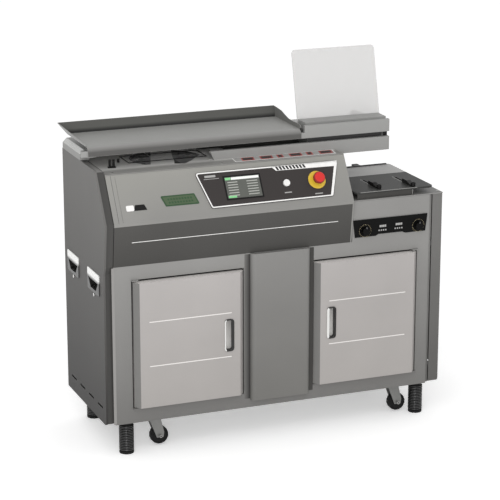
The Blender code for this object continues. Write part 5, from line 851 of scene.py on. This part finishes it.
# painted shade: two dark sheets at the strap's edges, where the strap shades the cutter's opening
near_shade = [(0.2801, 0.1355), (0.3000, 0.1276), (0.3000, 0.2050), (0.2947, 0.1811)]
far_shade = [(0.2420, 0.2540), (0.2627, 0.3142), (0.2680, 0.3300), (0.2420, 0.3300)]
show("cutter_strap_painted_shade", [slab(shade_sheet, SHEET_LOW, 0.0002) for shade_sheet in (near_shade, far_shade)], black_steel_and_painted_shade,
     matrix=LEVEL)
DRIP_FRONT, DRIP_REAR, DRIP_LIP = 0.1515, 0.3000, -0.0045
drip = [slab(rectangle(0.4160, 0.4960, DRIP_FRONT, DRIP_REAR), DRIP_LIP, -0.0020),
        slab(rectangle(0.4920, 0.4960, DRIP_FRONT, DRIP_REAR), -0.0085, DRIP_LIP)]
show("drip_sheet", drip, deck_paint, matrix=LEVEL)
trim_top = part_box("edge_trim")[1].z - DECK
show("side_seam", [slab(rectangle(0.0278, 0.0294, 0.084, 0.285), trim_top + 0.0001, trim_top + 0.0004)],
     black_plastic_and_painted_shade, matrix=LEVEL)
print("strap cover has", len(cover), "corners")

# %% [markdown]
# ### Screws
# The third tree puts one screw head on every point it is given, turned to face a direction stored on
# the point. A head is a low cylinder with a dark six-sided socket, so it reads as a screw close up.
# A boolean cut would give a real socket, but on heads of about a centimetre it wouldn't show.

# %% a tree for screw heads
# the socket's radius and depth as shares of the head's, so that it stands just clear of the head
HEAD_SIDES, SOCKET_SIDES = 18, 6
SOCKET_SHARE, SOCKET_RISE = 0.48, 1.08
screw_tree, screw_in, screw_keys = new_tree("screw_heads", {
    "Radius": FLOAT, "Height": FLOAT, "Head": MATERIAL, "Socket": MATERIAL})
head = put(screw_tree, "GeometryNodeMeshCylinder", {
    "Vertices": HEAD_SIDES, "Radius": screw_in["Radius"], "Depth": screw_in["Height"]})
half = put(screw_tree, "ShaderNodeMath", {0: screw_in["Radius"], 1: SOCKET_SHARE}, operation="MULTIPLY")
deep = put(screw_tree, "ShaderNodeMath", {0: screw_in["Height"], 1: SOCKET_RISE}, operation="MULTIPLY")
socket = put(screw_tree, "GeometryNodeMeshCylinder", {
    "Vertices": SOCKET_SIDES, "Radius": half.outputs["Value"], "Depth": deep.outputs["Value"]})
bright = put(screw_tree, "GeometryNodeSetMaterial", {
    "Geometry": head.outputs["Mesh"], "Material": screw_in["Head"]})
dark = put(screw_tree, "GeometryNodeSetMaterial", {
    "Geometry": socket.outputs["Mesh"], "Material": screw_in["Socket"]})
screw = put(screw_tree, "GeometryNodeJoinGeometry")
for part in (bright, dark):
    screw_tree.links.new(part.outputs["Geometry"], screw.inputs["Geometry"])
aim = put(screw_tree, "GeometryNodeInputNamedAttribute", {"Name": "aim"}, data_type="FLOAT_VECTOR")
turn = put(screw_tree, "FunctionNodeAlignRotationToVector", {"Vector": aim.outputs["Attribute"]},
           axis="Z")
heads = put(screw_tree, "GeometryNodeInstanceOnPoints", {
    "Points": screw_in["Geometry"], "Instance": screw.outputs["Geometry"],
    "Rotation": turn.outputs["Rotation"]})
whole = put(screw_tree, "GeometryNodeRealizeInstances", {"Geometry": heads.outputs["Instances"]})
put(screw_tree, "NodeGroupOutput", {"Geometry": whole.outputs["Geometry"]})
print("screw tree inputs:", list(screw_keys))

# %% [markdown]
# The side sheets are held by the largest screws, the rear and top sheets by smaller ones. Each list
# holds the place on the sheet and the way out of it, which the tree reads as a named attribute.

# %% screws on the sheets


def screws(name, places, radius, height, body="cabinet", head=bright_plate,
           socket=black_plastic_and_painted_shade):
    """Screw heads at (place, direction) pairs, as one piece."""
    points = bpy.data.meshes.new("places")
    sunk = height * 0.3
    points.from_pydata([tuple(place + direction * sunk) for place, direction in places], [], [])
    aims = points.attributes.new("aim", "FLOAT_VECTOR", "POINT")
    for i, (_, direction) in enumerate(places):
        aims.data[i].vector = direction
    made = grown(screw_tree, screw_keys, {"Radius": radius, "Height": height, "Head": head,
                                          "Socket": socket}, points)
    carry(name, made, None, body)


LEFT = Vector((-1, 0, 0))
RIGHT = Vector((1, 0, 0))
FRONT = Vector((0, -1, 0))
BACK = Vector((0, 1, 0))
UP = Vector((0, 0, 1))
RIGHT_SIDE, REAR_FACE, STATION_TOP, DECK_SCREWS = 1.150, 0.4147, 0.7563, 0.897
low_pair = ((0.318, 0.512), (0.101, 0.512))
high_pair = ((0.040, 0.700), (0.380, 0.700))
side = [(at(0, y, z), LEFT) for y, z in low_pair]
side += [(at(RIGHT_SIDE, y, z), RIGHT) for y, z in low_pair + high_pair]
# the side screws' sockets take the painted highlight, so each head reads as one bright dot
screws("side_screws", side, 0.0056, 0.0030, socket=painted_highlight)
rear = [(at(x, REAR_FACE, z), BACK) for x in (0.030, 0.300, 0.560, 0.800) for z in (0.130, 0.400, 0.670)]
screws("rear_screws", rear, 0.0040, 0.0020)
top = [(at(x, y, STATION_TOP), UP) for x in (0.839, 1.140) for y in (0.020, 0.395)]
top += [(at(x, 0.086, DECK_SCREWS), UP) for x in (0.060, 0.420)]
screws("top_screws", top, 0.0035, 0.0018)
print("screws:", len(side) + len(rear) + len(top))

# %% [markdown]
# The axle of each castor ends in a painted head with a dark socket on either side of its fork. The
# same tree makes them, and they ride on the fork, so that they swivel with it.

# %% the castors' axle ends
for corner in CORNERS:
    low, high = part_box(corner + "_castor_wheel")
    near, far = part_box(corner + "_castor_fork")
    axle = (low + high) / 2
    ends = [(Vector((axle.x, near.y, axle.z)), FRONT), (Vector((axle.x, far.y, axle.z)), BACK)]
    screws(corner + "_axle_ends", ends, 0.0050, 0.0016, corner + "_castor_fork",
           beam_paint)
print("axle ends on", len(CORNERS), "forks")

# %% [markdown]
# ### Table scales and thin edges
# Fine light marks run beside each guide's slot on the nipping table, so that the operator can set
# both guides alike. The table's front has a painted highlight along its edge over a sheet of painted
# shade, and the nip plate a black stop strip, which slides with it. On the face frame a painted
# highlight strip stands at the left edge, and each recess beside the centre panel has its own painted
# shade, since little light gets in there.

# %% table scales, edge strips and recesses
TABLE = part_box("nip_table")[1].z
TABLE_LEVEL = Matrix.Translation((CORNER.x, CORNER.y, TABLE))
scale = [row(x, start, 0.0002, (0.0050, 0.0005, 0.0002), 15, (0, 0.005, 0))
         for x, start in ((0.928, 0.084), (1.043, 0.080))]
scale += [row(x, 0.120, 0.0002, (0.0016, 0.092, 0.0002)) for x in (0.9322, 1.0472)]
block_rows("table_scales", scale, grey_ink, TABLE_LEVEL)
# painted highlight on the frame's own edge: a touch paler than the sheet behind it
frame_edge_highlight = surface("powder_coat_frame_edge_highlight", "918f8d", specular=0.2)
# painted shade in the recesses: the same coat in the left one, darker towards the panel, and a
# dark grey in the right one, which also makes the sheet of painted shade under the table's front
RECESS_SPAN = (CORNER.x + 0.463, CORNER.x + 0.478)
recess_painted_shade = surface("powder_coat_recess_painted_shade", "6c6b69", "3c3b3a", RECESS_SPAN, specular=0.1, axis="X")
dark_painted_shade = surface("painted_shade_dark_grey", "42413f", rough=(0.35, 0.45), specular=0.15)
FRAME_FOOT, FRAME_HEAD = 0.1400, 0.6190
show("frame_edge_strip", [slab(rectangle(0.0240, 0.0330, 0.1120, 0.6200), 0.0002, 0.0008)], frame_edge_highlight,
     matrix=UPRIGHT)
show("left_recess_shade", [slab(rectangle(0.4610, 0.4795, FRAME_FOOT, FRAME_HEAD), 0.0002, 0.0006)],
     recess_painted_shade, matrix=UPRIGHT)
show("right_recess_shade", [slab(rectangle(0.6830, 0.6970, FRAME_FOOT, FRAME_HEAD), 0.0002, 0.0006)],
     dark_painted_shade, matrix=UPRIGHT)
# painted highlight along the table's front edge, over a sheet of painted shade in the gap below it
front_edge = [slab(rectangle(0.860, 1.060, TABLE - 0.0016, TABLE), -0.0060, -0.0056),
              slab(rectangle(1.0440, 1.0455, 0.7570, TABLE - 0.0064), -0.0078, -0.0072)]
show("table_edge_highlight", front_edge, beam_paint, matrix=UPRIGHT)
table_front_shade = slab(rectangle(0.850, 1.046, 0.7568, TABLE - 0.0063), -0.0090, -0.0078)
show("table_front_painted_shade", [table_front_shade], dark_painted_shade, matrix=UPRIGHT)
stop = slab(rectangle(0.858, 1.106, 0.3320, 0.3385), 0.0001, 0.0030)
show("nip_plate_stop_strip", [stop], black_steel_and_painted_shade, "rear_nip_plate", matrix=TABLE_LEVEL)
print("table at", round(TABLE, 4))

# %% [markdown]
# Each guide has a small knurled knob at its nose. The upright flutes are blocks on a full circle from
# the arc tree, set round a plain core, and the knob rides on its guide. Real knurling is finer; twelve
# flutes still read as a grip from a step away.

# %% knurled knobs on the guides
KNOB = 0.0072
KNOB_STEPS = 20
for body, across in (("left_guide", 0.937), ("right_guide", 1.052)):
    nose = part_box(body)[0].y - CORNER.y - KNOB * 0.9
    angles = [math.radians(360 * i / KNOB_STEPS) for i in range(KNOB_STEPS)]
    core = [(across + KNOB * math.cos(a), nose + KNOB * math.sin(a)) for a in angles]
    cap = [(across + (u - across) * 0.7, nose + (v - nose) * 0.7) for u, v in core]
    show(body + "_knob", [slab(core, 0.0004, 0.0130), slab(cap, 0.0128, 0.0150)], black_plastic_and_painted_shade, body,
         matrix=TABLE_LEVEL)
    flutes = arc(12, KNOB, (0.0014, 0.0018, 0.0120), black_plastic_and_painted_shade)
    flutes.transform(TABLE_LEVEL @ Matrix.Translation((across, nose, 0.0068)))
    carry(body + "_knob_flutes", flutes, black_plastic_and_painted_shade, body)
print("knobs ride on the guides")

# %% [markdown]
# ### Threaded sleeves of the feet
# A black sleeve with a coarse thread covers each foot. The fourth tree sweeps a bead round a circle
# and repeats the ring up a line, so thread, pitch and height are three inputs. A true helix would
# climb by one pitch in each turn, which can't be told from rings at this size.

# %% a tree for stacked rings
ring_tree, ring_in, ring_keys = new_tree("ring_stack", {
    "Count": INTEGER, "Step": VECTOR, "Radius": FLOAT, "Bead": FLOAT, "Material": MATERIAL})
path = put(ring_tree, "GeometryNodeCurvePrimitiveCircle", {"Resolution": 28, "Radius": ring_in["Radius"]})
bead = put(ring_tree, "GeometryNodeCurvePrimitiveCircle", {"Resolution": 6, "Radius": ring_in["Bead"]})
ring = put(ring_tree, "GeometryNodeCurveToMesh", {"Curve": path.outputs["Curve"],
                                                  "Profile Curve": bead.outputs["Curve"]})
stack = put(ring_tree, "GeometryNodeMeshLine", {"Count": ring_in["Count"], "Offset": ring_in["Step"]},
            mode="OFFSET")
stacked = put(ring_tree, "GeometryNodeInstanceOnPoints", {"Points": stack.outputs["Mesh"],
                                                          "Instance": ring.outputs["Mesh"]})
close_tree(ring_tree, stacked.outputs["Instances"], ring_in["Material"])
# moulded rubber with a wet-looking sheen on its beads, which is what makes the thread show
thread_rubber = surface("glossy_thread_rubber", "1e1e1e", rough=(0.14, 0.22), grain=900.0, specular=1.0)
PITCH = 0.0056
THREAD_LOW, THREAD_HIGH = 0.0130, 0.0970
for foot in FEET:
    low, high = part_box(foot)
    thread = grown(ring_tree, ring_keys, {
        "Count": int((THREAD_HIGH - THREAD_LOW) / PITCH), "Step": (0, 0, PITCH), "Radius": 0.0226,
        "Bead": 0.0015, "Material": thread_rubber})
    thread.transform(Matrix.Translation(((low.x + high.x) / 2, (low.y + high.y) / 2, THREAD_LOW)))
    carry(foot + "_thread", thread, thread_rubber, foot)
print("threads on", len(FEET), "feet")

# %% [markdown]
# ## Floor, light and camera
# The photograph has a white studio ground with soft light from all round and a little more from the
# upper left and the front. A large white plane and a white world give that. Both look brighter to
# the camera, in metal and through the clear sheets than they light the machine: a Light Path node
# tells those rays from the rest, so the ground stays white while the machine keeps its shading and
# its soft shadow on the floor.

# %% floor


def looked_at(tree):
    """One for rays that are seen, straight or in metal and glass; nought for rays that only light."""
    path = put(tree, "ShaderNodeLightPath").outputs
    bent = put(tree, "ShaderNodeMath", {0: path["Is Glossy Ray"], 1: path["Is Transmission Ray"]},
               operation="MAXIMUM")
    either = put(tree, "ShaderNodeMath", {0: path["Is Camera Ray"], 1: bent.outputs["Value"]},
                 operation="MAXIMUM")
    return either.outputs["Value"]


FLOOR_HALF = 30
floor_shell = bmesh.new()
bmesh.ops.create_grid(floor_shell, x_segments=1, y_segments=1, size=FLOOR_HALF)
floor_mesh = bpy.data.meshes.new("studio_floor")
floor_shell.to_mesh(floor_mesh)
floor_shell.free()
# matt studio paper: near white, no highlight; it glows a little where it is seen
paper = surface("white_studio_paper", "fdfdfd", rough=(0.8, 0.9), cloud_amount=0.0, specular=0.1)
PAPER_GLOW = 0.34
shader = paper.node_tree.nodes["Principled BSDF"]
shader.inputs["Emission Color"].default_value = (1, 1, 1, 1)
lift = put(paper.node_tree, "ShaderNodeMath", {0: looked_at(paper.node_tree), 1: PAPER_GLOW},
           operation="MULTIPLY")
paper.node_tree.links.new(lift.outputs["Value"], shader.inputs["Emission Strength"])
floor_mesh.materials.append(paper)
floor = bpy.data.objects.new("studio_floor", floor_mesh)
bpy.context.scene.collection.objects.link(floor)
print("floor half width", FLOOR_HALF, "m, glow", PAPER_GLOW)

# %% [markdown]
# The world is the room: plain white, without a picture that the plated parts could show. Less of it
# lights the machine than is seen, for the same reason as with the floor.

# %% world
# the world lights at this strength and is seen at one
ROOM = 0.69
world = bpy.data.worlds.new("studio")
world.use_nodes = True
background = world.node_tree.nodes["Background"]
background.inputs["Color"].default_value = (1, 1, 1, 1)
level = put(world.node_tree, "ShaderNodeMath", {0: looked_at(world.node_tree), 1: 1 - ROOM, 2: ROOM},
            operation="MULTIPLY_ADD")
world.node_tree.links.new(level.outputs["Value"], background.inputs["Strength"])
bpy.context.scene.world = world
print("room light", ROOM)

# %% [markdown]
# A room that is white all round leaves every sheet the same tone. Two large area lights, one above
# at the left and one low in front, part the fascia, the doors and the side, and large lamps keep
# their shadows soft.

# %% two area lights


def area_light(name, place, target, size, power):
    """Soft square light aimed at a point."""
    data = bpy.data.lights.new(name, "AREA")
    data.size = size
    data.energy = power
    lamp = bpy.data.objects.new(name, data)
    lamp.location = place
    lamp.rotation_euler = (Vector(target) - Vector(place)).to_track_quat("-Z", "Y").to_euler()
    bpy.context.scene.collection.objects.link(lamp)


area_light("key", (-2.5, -3.5, 4.0), (0, 0, 0.6), 2.5, 35)
area_light("front", (-2.0, -5.0, 1.9), (0, 0, 0.7), 2.0, 90)

# %% [markdown]
# The camera was worked out from the photograph: a long lens some six metres away, a little left of
# the machine's front and above it.

# %% camera
LENS, SENSOR = 143.1, 36
LOOKS_DOWN, LOOKS_RIGHT = 15.78, 21.67
camera_data = bpy.data.cameras.new("camera")
camera_data.lens = LENS
camera_data.sensor_width = SENSOR
camera = bpy.data.objects.new("camera", camera_data)
camera.location = at(-1.729, -5.558, 2.322)
camera.rotation_euler = (math.radians(90 - LOOKS_DOWN), 0, math.radians(-LOOKS_RIGHT))
bpy.context.scene.collection.objects.link(camera)
bpy.context.scene.camera = camera
bpy.context.scene.view_settings.view_transform = "Standard"
print("camera at", tuple(round(v, 3) for v in camera.location))
